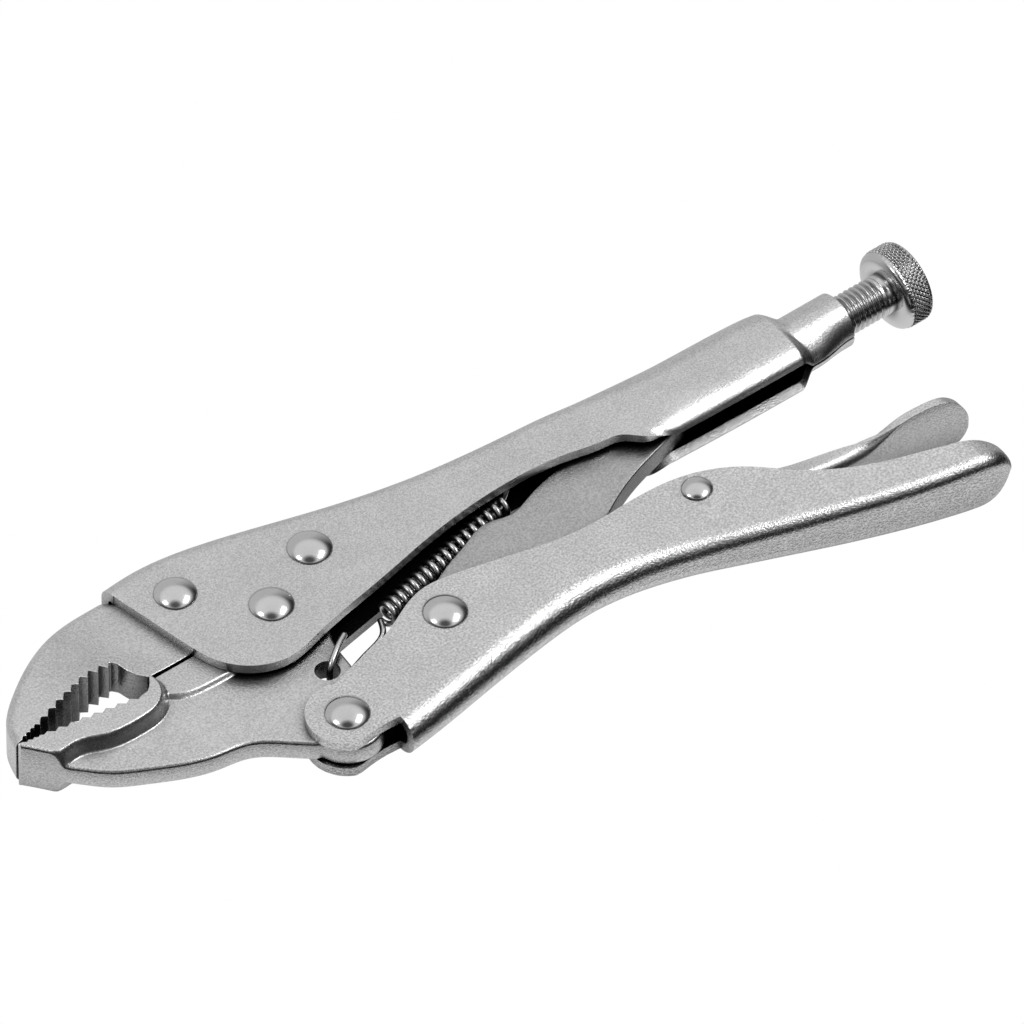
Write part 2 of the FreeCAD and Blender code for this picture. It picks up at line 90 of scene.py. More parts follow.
def smooth(points, count):
    """Count points, evenly spaced, on the natural cubic curve through the given points.

    Between two points the curve is a cubic in the chord length; the second derivatives at
    the points are those that leave the first derivative unbroken, and are zero at the ends.
    """
    knots = np.asarray(points, float)
    step = np.linalg.norm(np.diff(knots, axis=0), axis=1)
    at = np.concatenate([[0], np.cumsum(step)])
    inner = np.arange(1, len(knots) - 1)
    system = np.eye(len(knots))
    system[inner, inner - 1] = step[:-1]
    system[inner, inner] = 2 * (step[:-1] + step[1:])
    system[inner, inner + 1] = step[1:]
    right = np.zeros_like(knots)
    right[1:-1] = 6 * np.diff(np.diff(knots, axis=0) / step[:, None], axis=0)
    bend = np.linalg.solve(system, right)
    s = np.linspace(0, at[-1], 12 * count)
    k = np.clip(np.searchsorted(at, s, side="right") - 1, 0, len(step) - 1)
    h = step[k][:, None]
    a = (at[k + 1] - s)[:, None] / h
    b = 1 - a
    fine = a * knots[k] + b * knots[k + 1]
    fine += ((a ** 3 - a) * bend[k] + (b ** 3 - b) * bend[k + 1]) * h * h / 6
    return even(fine, count)


def even(line, count):
    """Count points evenly spaced along a polyline."""
    line = np.asarray(line, float)
    run = np.concatenate([[0], np.cumsum(np.linalg.norm(np.diff(line, axis=0), axis=1))])
    at = np.linspace(0, run[-1], count)
    return np.stack([np.interp(at, run, line[:, i]) for i in range(line.shape[1])], axis=1)


def arc(x, y, radius, first, last, count=24):
    """Points on a circle about (x, y) between two angles in degrees."""
    turn = np.radians(np.linspace(first, last, count))
    return np.stack([x + radius * np.cos(turn), y + radius * np.sin(turn)], axis=1)


def ease(low, high, value):
    """0 below low, 1 above high, and the cubic 3t^2 - 2t^3 between."""
    t = np.clip((value - low) / (high - low), 0, 1)
    return t * t * (3 - 2 * t)


def ramp(value, *stops):
    """A soft run through (position, level) stops."""
    x, y = np.array(stops, float).T
    fine = np.linspace(x[0], x[-1], 400)
    level = np.interp(fine, x, y)
    width = max(3, int(400 * 6 / (x[-1] - x[0])) | 1)
    level = np.convolve(np.pad(level, width // 2, mode="edge"), np.ones(width) / width, "valid")
    return np.interp(value, fine, level)


def distance(points, line):
    """Shortest distance from each point to an open polyline, both in the plane."""
    p = points.reshape(-1, 1, 2)
    a, b = line[None, :-1], line[None, 1:]
    along = b - a
    size = np.maximum((along ** 2).sum(-1), 1e-12)
    t = np.clip(((p - a) * along).sum(-1) / size, 0, 1)
    gap = np.linalg.norm(p - a - t[..., None] * along, axis=-1)
    return gap.min(axis=1).reshape(points.shape[:-1])


def inside(points, loop):
    """Which points lie inside a closed loop, by counting the edges to their right."""
    x, y = points.reshape(-1, 1, 2)[..., 0], points.reshape(-1, 1, 2)[..., 1]
    a, b = loop, np.roll(loop, -1, axis=0)
    spans = (a[:, 1] > y) != (b[:, 1] > y)
    rise = np.where(np.abs(b[:, 1] - a[:, 1]) < 1e-9, 1e-9, b[:, 1] - a[:, 1])
    cross = a[:, 0] + (y - a[:, 1]) / rise * (b[:, 0] - a[:, 0])
    return ((spans & (x < cross)).sum(axis=1) % 2 == 1).reshape(points.shape[:-1])


def signed_distance(points, loop):
    """Distance to a closed loop, positive inside it."""
    gap = distance(points, np.concatenate([loop, loop[:1]]))
    return np.where(inside(points, loop), gap, -gap)


# ---- meshes ------------------------------------------------------------------------

def two_sided(outer, inner, keep=None):
    """A closed body between two matching grids of points.

    The outer grid's cells face one way, the inner grid's the other, and a strip joins the
    two along every edge that has a kept cell on one side only.
    """
    rows, columns = outer.shape[:2]
    if keep is None:
        keep = np.ones((rows - 1, columns - 1), bool)
    index = np.arange(rows * columns).reshape(rows, columns)
    shift = rows * columns
    cells = np.stack([index[:-1, :-1], index[:-1, 1:], index[1:, 1:], index[1:, :-1]], -1)[keep]
    wide = np.pad(keep, 1)
    faces = [cells, cells[:, ::-1] + shift]
    above, below = wide[:-1, 1:-1], wide[1:, 1:-1]
    left, right = wide[1:-1, :-1], wide[1:-1, 1:]
    p, q = index[:, :-1], index[:, 1:]
    r, t = index[:-1], index[1:]
    for chosen, a, b in ((below & ~above, q, p), (above & ~below, p, q),
                         (right & ~left, r, t), (left & ~right, t, r)):
        a, b = a[chosen], b[chosen]
        faces.append(np.stack([a, b, b + shift, a + shift], -1))
    points = np.concatenate([outer.reshape(-1, 3), inner.reshape(-1, 3)])
    return points, np.concatenate(faces)


def wrapped(rings):
    """A closed body from rings of points (rings, around, 3), with a fan on each end ring."""
    count, around = rings.shape[:2]
    index = np.arange(count * around).reshape(count, around)
    nxt = np.roll(index, -1, axis=1)
    faces = np.stack([index[:-1], nxt[:-1], nxt[1:], index[1:]], -1).reshape(-1, 4)
    poles = np.array([rings[0].mean(axis=0), rings[-1].mean(axis=0)])
    first, last = count * around, count * around + 1
    caps = np.concatenate([
        np.stack([np.full(around, first), nxt[0], index[0]], -1),
        np.stack([np.full(around, last), index[-1], nxt[-1]], -1),
    ])
    return np.concatenate([rings.reshape(-1, 3), poles]), [*faces.tolist(), *caps.tolist()]


def joined(*bodies):
    """Several closed bodies as one list of points and faces."""
    points, faces, start = [], [], 0
    for body_points, body_faces in bodies:
        points.append(body_points)
        faces += [[int(i) + start for i in face] for face in body_faces]
        start += len(body_points)
    return np.concatenate(points), faces


def spun(profile, centre, axis, around=72):
    """A profile of (radius, height) points turned about an axis through a plan point."""
    profile = np.asarray(profile, float)
    turn = np.linspace(0, 2 * np.pi, around, endpoint=False)
    return spun_rings(profile[:, :1] + 0 * turn, profile[:, 1:] + 0 * turn, turn, centre, axis)


def spun_rings(radius, height, turn, centre, axis):
    """Rings about an axis: the point is centre + height axis + radius (cos, sin) across it."""
    axis = np.asarray(axis, float)
    side = np.cross(axis, [0, 1, 0] if abs(axis[1]) < 0.9 else [1, 0, 0])
    side /= np.linalg.norm(side)
    up = np.cross(axis, side)
    spoke = np.cos(turn)[:, None] * side + np.sin(turn)[:, None] * up
    return np.asarray(centre) + height[..., None] * axis + radius[..., None] * spoke


def in_scene(name, data):
    """A new object, linked to the scene."""
    obj = bpy.data.objects.new(name, data)
    bpy.context.scene.collection.objects.link(obj)
    return obj


def piece(name, body, nodes, slot, finish, points, faces, sharp=35):
    """Turn plan points and faces into a closed piece that stands for its frame nodes."""
    mesh = bpy.data.meshes.new(name)
    mesh.from_pydata(to_row(points).tolist(), [], [list(map(int, face)) for face in faces])
    shape = bmesh.new()
    shape.from_mesh(mesh)
    bmesh.ops.remove_doubles(shape, verts=shape.verts, dist=2e-6)
    bmesh.ops.dissolve_degenerate(shape, edges=shape.edges, dist=1e-6)
    loose = [v for v in shape.verts if not v.link_faces]
    bmesh.ops.delete(shape, geom=loose, context="VERTS")
    bmesh.ops.recalc_face_normals(shape, faces=shape.faces)
    shape.to_mesh(mesh)
    shape.free()
    mesh.shade_smooth()
    mesh.set_sharp_from_angle(angle=math.radians(sharp))
    mesh.materials.append(steel(finish))
    obj = in_scene(name, mesh)
    if body:
        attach(obj, body)
    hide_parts(*nodes)
    return obj


def soften_edges(obj, width, segments=2):
    """Round the sharp edges of a sheet with a small bevel."""
    bevel = obj.modifiers.new("rolled_edges", "BEVEL")
    bevel.width = width * MM
    bevel.segments = segments
    bevel.limit_method = "ANGLE"
    bevel.angle_limit = math.radians(40)


# ---- plates: a forging or link between a lower and an upper edge -----------------------

def plate(lower, upper, x, thickness, lower_round, upper_round, rows=40):
    """A flat closed body whose half-thickness is a function of the plan place.

    Along x and between the edges y = lower(x) and y = upper(x), the top is
    z = thickness(x, y), less r - sqrt(r^2 - (r - d)^2) within a distance d under r of each
    edge, which rounds it to a quarter circle. The underside mirrors the top.
    """
    low = np.interp(x, lower[:, 0], lower[:, 1])
    high = np.maximum(np.interp(x, upper[:, 0], upper[:, 1]), low + 1e-3)
    tall = (high - low)[:, None]
    quarter = 1 - np.cos(np.linspace(0, np.pi / 2, 6))
    near_low = np.minimum(quarter * lower_round, quarter * tall / 2.5)
    near_high = tall - np.minimum(quarter * upper_round, quarter * tall / 2.5)[:, ::-1]
    share = np.linspace(0, 1, rows)[None, 1:-1]
    middle = near_low[:, -1:] + share * (near_high[:, :1] - near_low[:, -1:])
    rise = np.concatenate([near_low, middle, near_high], axis=1)
    flat = np.stack([x[:, None] + 0 * rise, low[:, None] + rise], -1)
    z = thickness(flat[..., 0], flat[..., 1])
    bottom_edge = np.stack([x, low], -1)
    top_edge = np.stack([x, high], -1)
    for line, radius in ((bottom_edge, lower_round), (top_edge, upper_round)):
        gap = np.minimum(distance(flat, line), radius)
        z = z - (radius - np.sqrt(radius ** 2 - (radius - gap) ** 2))
    z = np.maximum(z, 0.2)
    return two_sided(np.dstack([flat, z]), np.dstack([flat, -z]))


def stations(*spans):
    """Places along x from (start, end, step) spans, with any array of places kept exactly."""
    places = []
    for span in spans:
        if not isinstance(span, np.ndarray):
            start, end, step = span
            places.append(np.linspace(start, end, max(2, round((end - start) / step) + 1)))
        else:
            places.append(span)
    merged = np.unique(np.round(np.concatenate(places), 4))
    return merged[np.concatenate([[True], np.diff(merged) > 0.03])]


# ---- sheets: folded channels with a spine and two cheeks -------------------------------

def channel(x, spine, edge, half, bend, wall, way, lip=0, lip_bend=0.6, lip_reach=0, lip_long=1, flat=0):
    """A folded sheet as two matching grids, outer and inner, one row for each station x.

    The section runs from the free edge of one cheek, round its lip, up the cheek, round the
    bend and along the spine to the middle, and is mirrored in the middle plane. way is +1
    where the spine is on the +y side. A lip's arc is stretched lip_long times in y. The inner
    grid is the outer one moved by the wall along its own normal in the section, or straight
    through in y where flat is 1.
    """
    x, spine, edge, half, bend, lip, lip_bend, lip_reach, lip_long, wall, flat = (
        np.broadcast_to(np.asarray(value, float), x.shape)[:, None]
        for value in (x, spine, edge, half, bend, lip, lip_bend, lip_reach, lip_long, wall, flat)
    )
    spine, edge = way * spine, way * edge
    bend = np.minimum(bend, half)
    lip_tall = lip_bend * lip_long
    edge = np.minimum(edge, spine - bend - lip_tall - 0.02)
    turn = lip * np.pi / 2
    reach = lip_bend * (1 - lip) + lip_reach * lip
    t = np.linspace(1, 0, 4)[None, :-1]
    arc_y = edge + lip_tall - lip_tall * np.sin(turn)
    arc_z = half - lip_bend + lip_bend * np.cos(turn)
    parts = [(arc_y - t * reach * np.cos(turn), arc_z - t * reach * np.sin(turn))]
    a = turn * np.linspace(1, 0, 7)[None, :-1]
    parts.append((edge + lip_tall - lip_tall * np.sin(a), half - lip_bend + lip_bend * np.cos(a)))
    t = np.linspace(0, 1, 13)[None, :-1]
    parts.append((edge + lip_tall + t * (spine - bend - edge - lip_tall), half + 0 * t))
    b = np.linspace(0, np.pi / 2, 11)[None, :-1]
    parts.append((spine - bend + bend * np.sin(b), half - bend + bend * np.cos(b)))
    t = np.linspace(0, 1, 5)[None, :]
    parts.append((spine + 0 * t, (half - bend) * (1 - t)))
    y = np.concatenate([p[0] for p in parts], axis=1)
    z = np.concatenate([p[1] for p in parts], axis=1)
    y = np.concatenate([y, y[:, -2::-1]], axis=1) * way
    z = np.concatenate([z, -z[:, -2::-1]], axis=1)
    outer = np.dstack([x + 0 * y, y, z])
    inner = inner_grid(outer, wall * way)
    through = outer - np.dstack([0 * y, wall * way + 0 * y, 0 * y])
    inner = inner + flat[..., None] * (through - inner)
    inner[..., 2] = np.where(outer[..., 2] > 0, np.maximum(inner[..., 2], 0.05), inner[..., 2])
    inner[..., 2] = np.where(outer[..., 2] < 0, np.minimum(inner[..., 2], -0.05), inner[..., 2])
    return outer, inner


def inner_grid(outer, wall):
    """The outer grid moved by the wall along each section's own normal in the yz plane."""
    step = np.diff(outer[..., 1:], axis=1)
    size = np.linalg.norm(step, axis=-1, keepdims=True)
    unit = np.where(size > 1e-4, step / np.maximum(size, 1e-9), 0)
    mean = np.concatenate([unit[:, :1], unit[:, :-1] + unit[:, 1:], unit[:, -1:]], axis=1)
    for _ in range(3):
        lost = np.linalg.norm(mean, axis=-1, keepdims=True) < 0.2
        mean = np.where(lost, np.roll(mean, -1, axis=1) + np.roll(mean, 1, axis=1), mean)
    mean /= np.maximum(np.linalg.norm(mean, axis=-1, keepdims=True), 1e-9)
    inner = outer.copy()
    inner[..., 1] += mean[..., 1] * wall
    inner[..., 2] -= mean[..., 0] * wall
    return inner


# ---- the pieces --------------------------------------------------------------------

TUBE = plan_box("fixed_handle")[1][0]
SCREW_LINE = plan_of("knob_turn")[1]
SCREW_BOX = plan_box("adjusting_screw")
KNOB_BOX = plan_box("screw_knob")
SCREW_RADIUS = SCREW_BOX[1][2]
KNOB_RADIUS = KNOB_BOX[1][2]
HALF_HANDLE, HALF_LEVER, HALF_PLATE, HALF_NOSE, HALF_HUB = 6.5, 5.3, 2.8, 6.7, 3.9
HALF_TANG = 4.0
HALF_PIN, PIN_DOME, SHANK_SHARE = 5.75, 0.63, 0.62
TUBE_WALL, TUBE_OVER_SCREW, KEEL = 1.75, 1.85, 1.5
THREAD_DEPTH, KNURL_STEP, COIL_RADIUS = 0.85, 1.35, 3.15
FIXED_REACH, MOVABLE_REACH = 12.3, 11.6
LUG_RADIUS, LOBE_RADIUS, LINK_RADIUS = 8.6, 9.6, 8.4
HOOK_HOLE, HOOK_HOLE_RADIUS = (-0.6, -21.2), 3.0

HANDLE_SPINE = [(-26.6, 28.3), (-18, 28.8), (0, 26.2), (15.6, 21.8), (32, 17.1), (54, 12.6),
                (86.5, 9.6), (113.6, 7.6), (136, 6.9), (144, 5.6), (150, 3.0), (159, 2.1)]
HANDLE_EDGE = [(-26.5, 24.6), (-24.5, 13.4), (-22.4, 1.4), (-20, -6.4), (-15.6, -11.8),
               (-11.7, -14.1), (-6.8, -15.2), (3.3, -13.3), (24, -9), (44, -4.9), (57, -3.4),
               (69, -3.1), (79.6, -4.1), (89.4, -6.2), (93.9, -7.4), (96.2, -9.6),
               (98.6, -12.3), (104, -13.4), (125, -13.9), (142, -14.0)]


def handle_sheet():
    """The fixed handle's one folded sheet, from its open front to the threaded tube.

    A channel section with a rounded back runs to the rear bulge, where lips turn in under
    it, and then eases into a ring about the screw's line, drawn to a keel at its seam.
    """
    edge_rail = np.concatenate([smooth(HANDLE_EDGE, 330), [(TUBE, -13.0)]])
    x = np.concatenate([edge_rail[:-1, 0], np.linspace(142, TUBE, 60)[1:]])
    spine_rail = smooth(HANDLE_SPINE, 400)
    outer, inner = channel(
        x, np.interp(x, *spine_rail.T), np.interp(x, *edge_rail.T),
        half=ramp(x, (-30, 6.5), (93, 6.5), (110, 7.4), (150, 7.4), (160, 7.4)),
        bend=ramp(x, (-30, 3.6), (84, 3.6), (112, 6.6), (160, 6.6)),
        lip=0.78 * ease(97, 108, x),
        lip_bend=ramp(x, (-30, 0.7), (90, 0.7), (107, 3.9), (160, 3.9)), lip_reach=0.05,
        lip_long=ramp(x, (-30, 1), (90, 1), (107, 2.0), (160, 2.0)),
        wall=ramp(x, (-30, 2.5), (90, 2.5), (100, 2.0), (136, 2.0), (148, TUBE_WALL),
                  (160, TUBE_WALL)),
        way=1,
    )
    half_share = np.concatenate([
        np.linspace(0.006, 0.03, 4)[:-1], np.linspace(0.03, 0.12, 7)[:-1],
        np.linspace(0.12, 0.3, 13)[:-1], np.linspace(0.3, 0.44, 11)[:-1],
        np.linspace(0.44, 0.5, 5),
    ])
    share = np.concatenate([half_share, 1 - half_share[-2::-1]])
    turn = 2 * np.pi * share
    tube_radius = SCREW_RADIUS + TUBE_OVER_SCREW
    keel = KEEL * np.exp(-(np.minimum(share, 1 - share) / 0.09) ** 2)
    radius = tube_radius + keel * (1 - ease(148, TUBE - 1, x))[:, None]
    closing = ease(142.2, 146.2, x)[:, None, None]
    for grid, inset in ((outer, 0.0), (inner, TUBE_WALL)):
        ring = np.dstack([
            x[:, None] + 0 * radius, SCREW_LINE - (radius - inset) * np.cos(turn),
            (radius - inset) * np.sin(turn),
        ])
        grid += closing * (ring - grid)
    return two_sided(outer, inner)


def saw(*runs):
    """Each run's tooth tips, every one followed by its root, which is a fixed step away."""
    return np.concatenate([np.stack([tips, tips + step], 1).reshape(-1, 2) for tips, step in runs])


def upper_teeth():
    """Four fine and nine coarse teeth of the fixed jaw, root and tip, nose to throat."""
    fine = np.arange(4)
    coarse = np.arange(9)
    fine_tips = np.stack([-69.6 + 1.45 * fine, 1.55 + 0.42 * fine], 1)
    tips = np.stack([-63.6 + 2.95 * coarse, np.minimum(2.7 + 0.98 * coarse, 8.2)], 1)
    return saw((fine_tips, [0.8, 0.7]), (tips, [1.6, 1.75]))


def lower_teeth():
    """Four fine and eight coarse teeth of the movable jaw, nose to the rear of the mouth."""
    fine = np.arange(4)
    coarse = np.arange(8)
    fine_tips = np.stack([-69.9 + 1.45 * fine, 1.0 - 0.2 * fine], 1)
    tips = np.stack([-63.6 + 2.95 * coarse, 0.3 - 0.52 * coarse], 1)
    return saw((fine_tips, [0.8, -0.55]), (tips, [1.5, -1.2]))


def fixed_jaw_forging():
    """The fixed jaw: a thick toothed nose that slopes to the tang inside the handle."""
    lower = np.concatenate([
        [(-71.3, 1.7)], upper_teeth(), [(-38.4, 9.4)],
        smooth([(-37.4, 7.9), (-36.9, 5.2), (-35.9, 2.9), (-34.4, 1.1)], 24),
        [(-34.1, 1.0), (-FIXED_REACH, 1.0)], arc(0, 0, FIXED_REACH, 175, 8, 40),
        [(22.0, 2.2), (26.5, 6.0)],
    ])
    upper = np.concatenate([
        smooth([(-71.3, 1.8), (-69.2, 7.8), (-63, 14.2), (-54, 20.2), (-45, 24.4), (-36, 26.4),
                (-28, 26.9)], 160),
        smooth([(-26.4, 25.4), (-18, 26.0), (0, 23.3), (24, 16.5), (26.5, 15.8)], 60),
    ])
    x = stations((-71.3, -69, 0.12), (-69, -38, 0.4), upper_teeth()[:, 0], (-38.4, -33, 0.14),
                 (-33, 26.5, 0.8))

    def half(px, py):
        return HALF_NOSE - (HALF_NOSE - HALF_TANG) * ease(-58, -27, px)

    return plate(lower, upper, x, half, 0.25, 2.4, rows=36)


LIP_FOOT = [(-73, 1.5), (-71.4, -0.8), (-69.4, -3.4), (-66.2, -6.3), (-60, -6.5),
            (-53.5, -8.8), (-45, -9.7), (-39.5, -9.0), (-35.6, -6.2), (-34.3, -2.4),
            (-34.9, 0.4), (-37, 3)]
PAD_FOOT = [(-35.5, 3), (-35.3, -3.5), (-32, -7.2), (-27.4, -8.5), (-19, -8.9), (-11, -9.6),
            (-4, -11.2), (5, -10.6), (11.6, -3)]


def movable_jaw_forging():
    """The movable jaw: toothed lip, fillet, thin plate, raised pad and the lever's lug.

    Its half-thickness steps up with an easing cubic of the distance inside the foot of the
    pad, and again inside the foot of the lip.
    """
    lug_x, lug_y = plan_of("lever_swing")[:2]
    lower = np.concatenate([
        smooth([(-71.0, 0.2), (-67.4, -4.6), (-64.7, -8.4), (-61.7, -11.9), (-58.5, -15.2),
                (-50.9, -20.0), (-42.6, -24.2), (-35.7, -26.4), (-28.3, -27.9), (-21, -33.2),
                (-16.6, -37.2)], 200),
        arc(lug_x, lug_y, LUG_RADIUS, 194, 356, 60),
        smooth([(2.3, -35.2), (3.2, -29), (4.8, -23.5), (5.4, -19), (6.6, -14), (10.5, -5),
                (11.5, -1.5)], 80),
    ])
    upper = np.concatenate([
        [(-71.0, 1.2)], lower_teeth(), [(-40.5, -4.2)],
        smooth([(-38.3, -3.9), (-36.8, -2.6), (-35.5, -0.9), (-34.7, 0.3)], 24),
        [(-MOVABLE_REACH, 0.3)], arc(0, 0, MOVABLE_REACH, 177, -7, 60),
    ])
    x = stations((-71.0, -69, 0.12), (-69, -34, 0.36), lower_teeth()[:, 0], (-38.4, -34, 0.15),
                 (-34, -16, 0.4), (-16, 2.2, 0.3), (2.1, 7, 0.12), (7, 11.5, 0.2))
    lip = np.concatenate([smooth(LIP_FOOT, 90), [(-40, 10), (-80, 10), (-80, 1.5)]])
    pad = np.concatenate([smooth(PAD_FOOT, 90), [(14, 14), (-36, 14)]])

    def half(px, py):
        place = np.stack([px, py], -1)
        base = HALF_PLATE + (HALF_HUB - HALF_PLATE) * ease(-0.7, 0.7, signed_distance(place, pad))
        return base + (HALF_NOSE - base) * ease(-1.5, 0.6, signed_distance(place, lip))

    return plate(lower, upper, x, half, 0.9, 0.25, rows=116)


def drill(obj, x, y, radius):
    """Cut a round hole through a piece, along z."""
    reach = 12
    ends = [(radius, -reach), (radius, reach)]
    points, faces = wrapped(spun(ends, (x, y, 0), (0, 0, 1), 48))
    mesh = bpy.data.meshes.new("drill")
    mesh.from_pydata(to_row(points).tolist(), [], faces)
    cutter = in_scene("drill", mesh)
    cut = obj.modifiers.new("hole", "BOOLEAN")
    cut.operation = "DIFFERENCE"
    cut.solver = "EXACT"
    cut.object = cutter
    bpy.context.view_layer.update()
    seen = obj.evaluated_get(bpy.context.evaluated_depsgraph_get())
    obj.data = bpy.data.meshes.new_from_object(seen)
    obj.modifiers.clear()
    bpy.data.objects.remove(cutter)


LINK_END = (107.5, -5.8, 5.1)


def toggle_link_plate():
    """The flat link from the lever to the screw's tip."""
    hub_x, hub_y = plan_of("link_pivot")[:2]
    upper = np.concatenate([
        arc(hub_x, hub_y, LINK_RADIUS, 180, 118, 24),
        smooth([(28.6, -16.7), (33.7, -15.2), (41, -12.0), (48.3, -9.2), (54, -7.2),
                (58.0, -7.6), (61.5, -8.4), (65, -7.8), (70, -6.0), (74.7, -4.8), (84, -3.2),
                (96, -1.8), (107, -0.7)], 160),
        arc(*LINK_END, 80, 0, 16),
    ])
    lower = np.concatenate([
        arc(hub_x, hub_y, LINK_RADIUS, 180, 268, 30),
        smooth([(31, -33.4), (44, -32.4), (58, -29), (74, -24.6), (84.3, -19.2), (93.8, -15.2),
                (103, -12.5), (108, -10.9)], 120),
        arc(*LINK_END, -70, 0, 16),
    ])
    x = stations((21.6, 24, 0.15), (24, 108, 0.55), (108, 112.6, 0.15))
    return plate(lower, upper, x, lambda px, py: HALF_PLATE + 0 * px, 0.4, 0.4, rows=18)


LEVER_EDGE = [(-3.6, -27.3), (3.1, -25.4), (17.7, -21.2), (25.8, -17.4), (31.1, -16.2),
              (37.9, -16.9), (54.7, -21), (64.5, -23.2), (75, -24.1), (87, -23.9), (97, -25.2),
              (102, -26.9), (110.6, -32.2), (119.4, -41), (128.6, -47.6), (134.7, -50.8),
              (143.5, -54.2), (150, -56.6), (156, -58.8), (161.4, -61.6)]
LEVER_SPINE = [(2.2, -49.2), (8, -48.4), (25, -45.4), (45, -42.0), (63, -40.6), (80, -43.2),
               (100, -49.8), (120, -57.0), (135, -61.8), (150, -65.5), (157.5, -66.1),
               (161.4, -65.0)]
LEVER_OPEN_END = 2.2


def lever_sheet():
    """The lever's one folded sheet: two round lobes at the jaw, then a channel to the tail.

    In front of the open end only the cheeks are kept. From the middle on, the section
    widens, its back flattens, and an ellipse closes it at the tail.
    """
    lobe_x, lobe_y = plan_of("lever_swing")[:2]
    top = np.concatenate([
        arc(lobe_x, lobe_y, LOBE_RADIUS, 176, 78, 50), smooth(LEVER_EDGE, 420),
    ])
    bottom = np.concatenate([
        arc(lobe_x, lobe_y, LOBE_RADIUS, 184, 244, 40),
        smooth([(-9.2, -44.7), (-6.4, -44.3), (-3.2, -44.0), (2.19, -44.2)], 30),
    ])
    x = np.concatenate([
        lobe_x - LOBE_RADIUS * np.cos(np.radians(np.linspace(4, 100, 46))),
        np.linspace(-4.4, 2.19, 14)[1:], np.linspace(LEVER_OPEN_END, 152, 260),
        152 + 9.4 * np.sin(np.linspace(0, np.pi / 2, 30))[1:],
    ])
    spine_rail = smooth(LEVER_SPINE, 300)
    cheeks_only = x < LEVER_OPEN_END
    spine = np.where(cheeks_only, np.interp(x, *bottom.T), np.interp(x, *spine_rail.T))
    tail = np.sqrt(np.clip(1 - ((x - 152) / 9.9) ** 2, 0, 1))
    half = ramp(x, (-20, 5.3), (88, 5.3), (105, 5.9), (130, 7.0), (150, 7.9), (165, 7.9))
    half = half * np.where(x > 152, tail, 1)
    bend = ramp(x, (2, 5.1), (60, 5.1), (96, 3.4), (120, 3.0), (165, 2.9))
    outer, inner = channel(
        x, spine, np.interp(x, *top.T), half, np.where(cheeks_only, 0.05, bend),
        wall=2.4, way=-1, lip_bend=np.where(cheeks_only, 0.02, 0.5),
    )
    keep = np.ones((outer.shape[0] - 1, outer.shape[1] - 1), bool)
    front = int(cheeks_only.sum())
    cheek = 21
    keep[:front, cheek:-cheek] = False
    return two_sided(outer, inner, keep)


def release_sheet():
    """The release lever: a narrow fold on its pin that opens out flat into a thumb pad."""
    x = np.concatenate([np.linspace(86.5, 156, 170),
                        156 + 6.7 * np.sin(np.linspace(0, np.pi / 2, 28))[1:]])
    edge = smooth([(86.5, -25.6), (92, -26.4), (98, -26.0), (106, -28.4), (113, -32.4),
                   (121, -35.6), (132, -38.3), (139, -41.0), (145, -43.2), (150, -44.2),
                   (157, -45.9), (163, -48.0)], 200)
    spine = smooth([(86.5, -29.6), (91, -32.6), (97, -35.2), (104, -36.4), (112, -38.0),
                    (121, -40.4), (132, -42.4), (140, -43.1), (147, -43.7), (152, -44.7),
                    (157, -45.9), (163, -48.0)], 200)
    half = np.interp(x, [86, 130, 137, 141, 144, 148, 152, 156, 163],
                     [2.7, 2.7, 3.2, 4.1, 5.2, 6.6, 7.7, 8.2, 8.2])
    half = np.convolve(np.pad(half, 7, mode="edge"), np.ones(15) / 15, "valid")
    half = half * np.where(x > 156, np.sqrt(np.clip(1 - ((x - 156) / 6.8) ** 2, 0, 1)), 1)
    flat = ease(136, 148, x)
    outer, inner = channel(
        x, np.interp(x, *spine.T), np.interp(x, *edge.T), half,
        bend=2.6 - 2.5 * flat, wall=1.5 + 0.4 * flat, way=-1, lip_bend=0.3 - 0.28 * flat,
        flat=flat,
    )
    return two_sided(outer, inner)


def rivet(place, shank, head, half, high):
    """A shank with a dome on both ends, which is half + high (1 - (r/head)^2)^0.75 tall."""
    r = head * np.sin(np.linspace(0.02, np.pi / 2, 22))
    dome = half + 0.15 + high * (1 - (r / head) ** 2) ** 0.75
    profile = np.concatenate([
        np.stack([r, dome], 1), [(head, half + 0.02), (head - 0.25, half - 0.05), (shank, half - 0.05)],
    ])
    mirrored = profile[::-1] * [1, -1]
    return wrapped(spun(np.concatenate([profile, mirrored]), (*place, 0), (0, 0, 1), 64))


def threaded_rod(pitch):
    """The adjusting screw: at each place the radius falls from the crest by a V that winds
    on by one pitch a turn, depth min(1, max(0, (|2f - 1| - 0.1) / 0.8)), f the part of a
    pitch; the thread fades out at the tip and ahead of the plain neck."""
    start, end = SCREW_BOX[0][0], KNOB_BOX[0][0]
    along = np.linspace(start, end - 2.0, 430)
    turn = np.linspace(0, 2 * np.pi, 40, endpoint=False)
    part = np.mod((along[:, None] + pitch * turn / (2 * np.pi)) / pitch, 1)
    depth = np.clip((np.abs(2 * part - 1) - 0.1) / 0.8, 0, 1)
    fade = ease(start, start + 1.5, along) * (1 - ease(end - 3.2, end - 2.2, along))
    crest = SCREW_RADIUS - 1.2 * (1 - ease(start, start + 1.4, along))
    radius = crest[:, None] - THREAD_DEPTH * depth * fade[:, None]
    neck_x = np.array([end - 1.9, end - 1.75, end - 0.3, end + 3.8])
    neck_r = np.array([SCREW_RADIUS - 0.25, SCREW_RADIUS, SCREW_RADIUS, SCREW_RADIUS - 0.2])
    along = np.concatenate([along, neck_x])
    radius = np.concatenate([radius, neck_r[:, None] + 0 * turn])
    rings = spun_rings(radius, along[:, None] + 0 * turn, turn, (0, SCREW_LINE, 0), (1, 0, 0))
    return wrapped(rings)


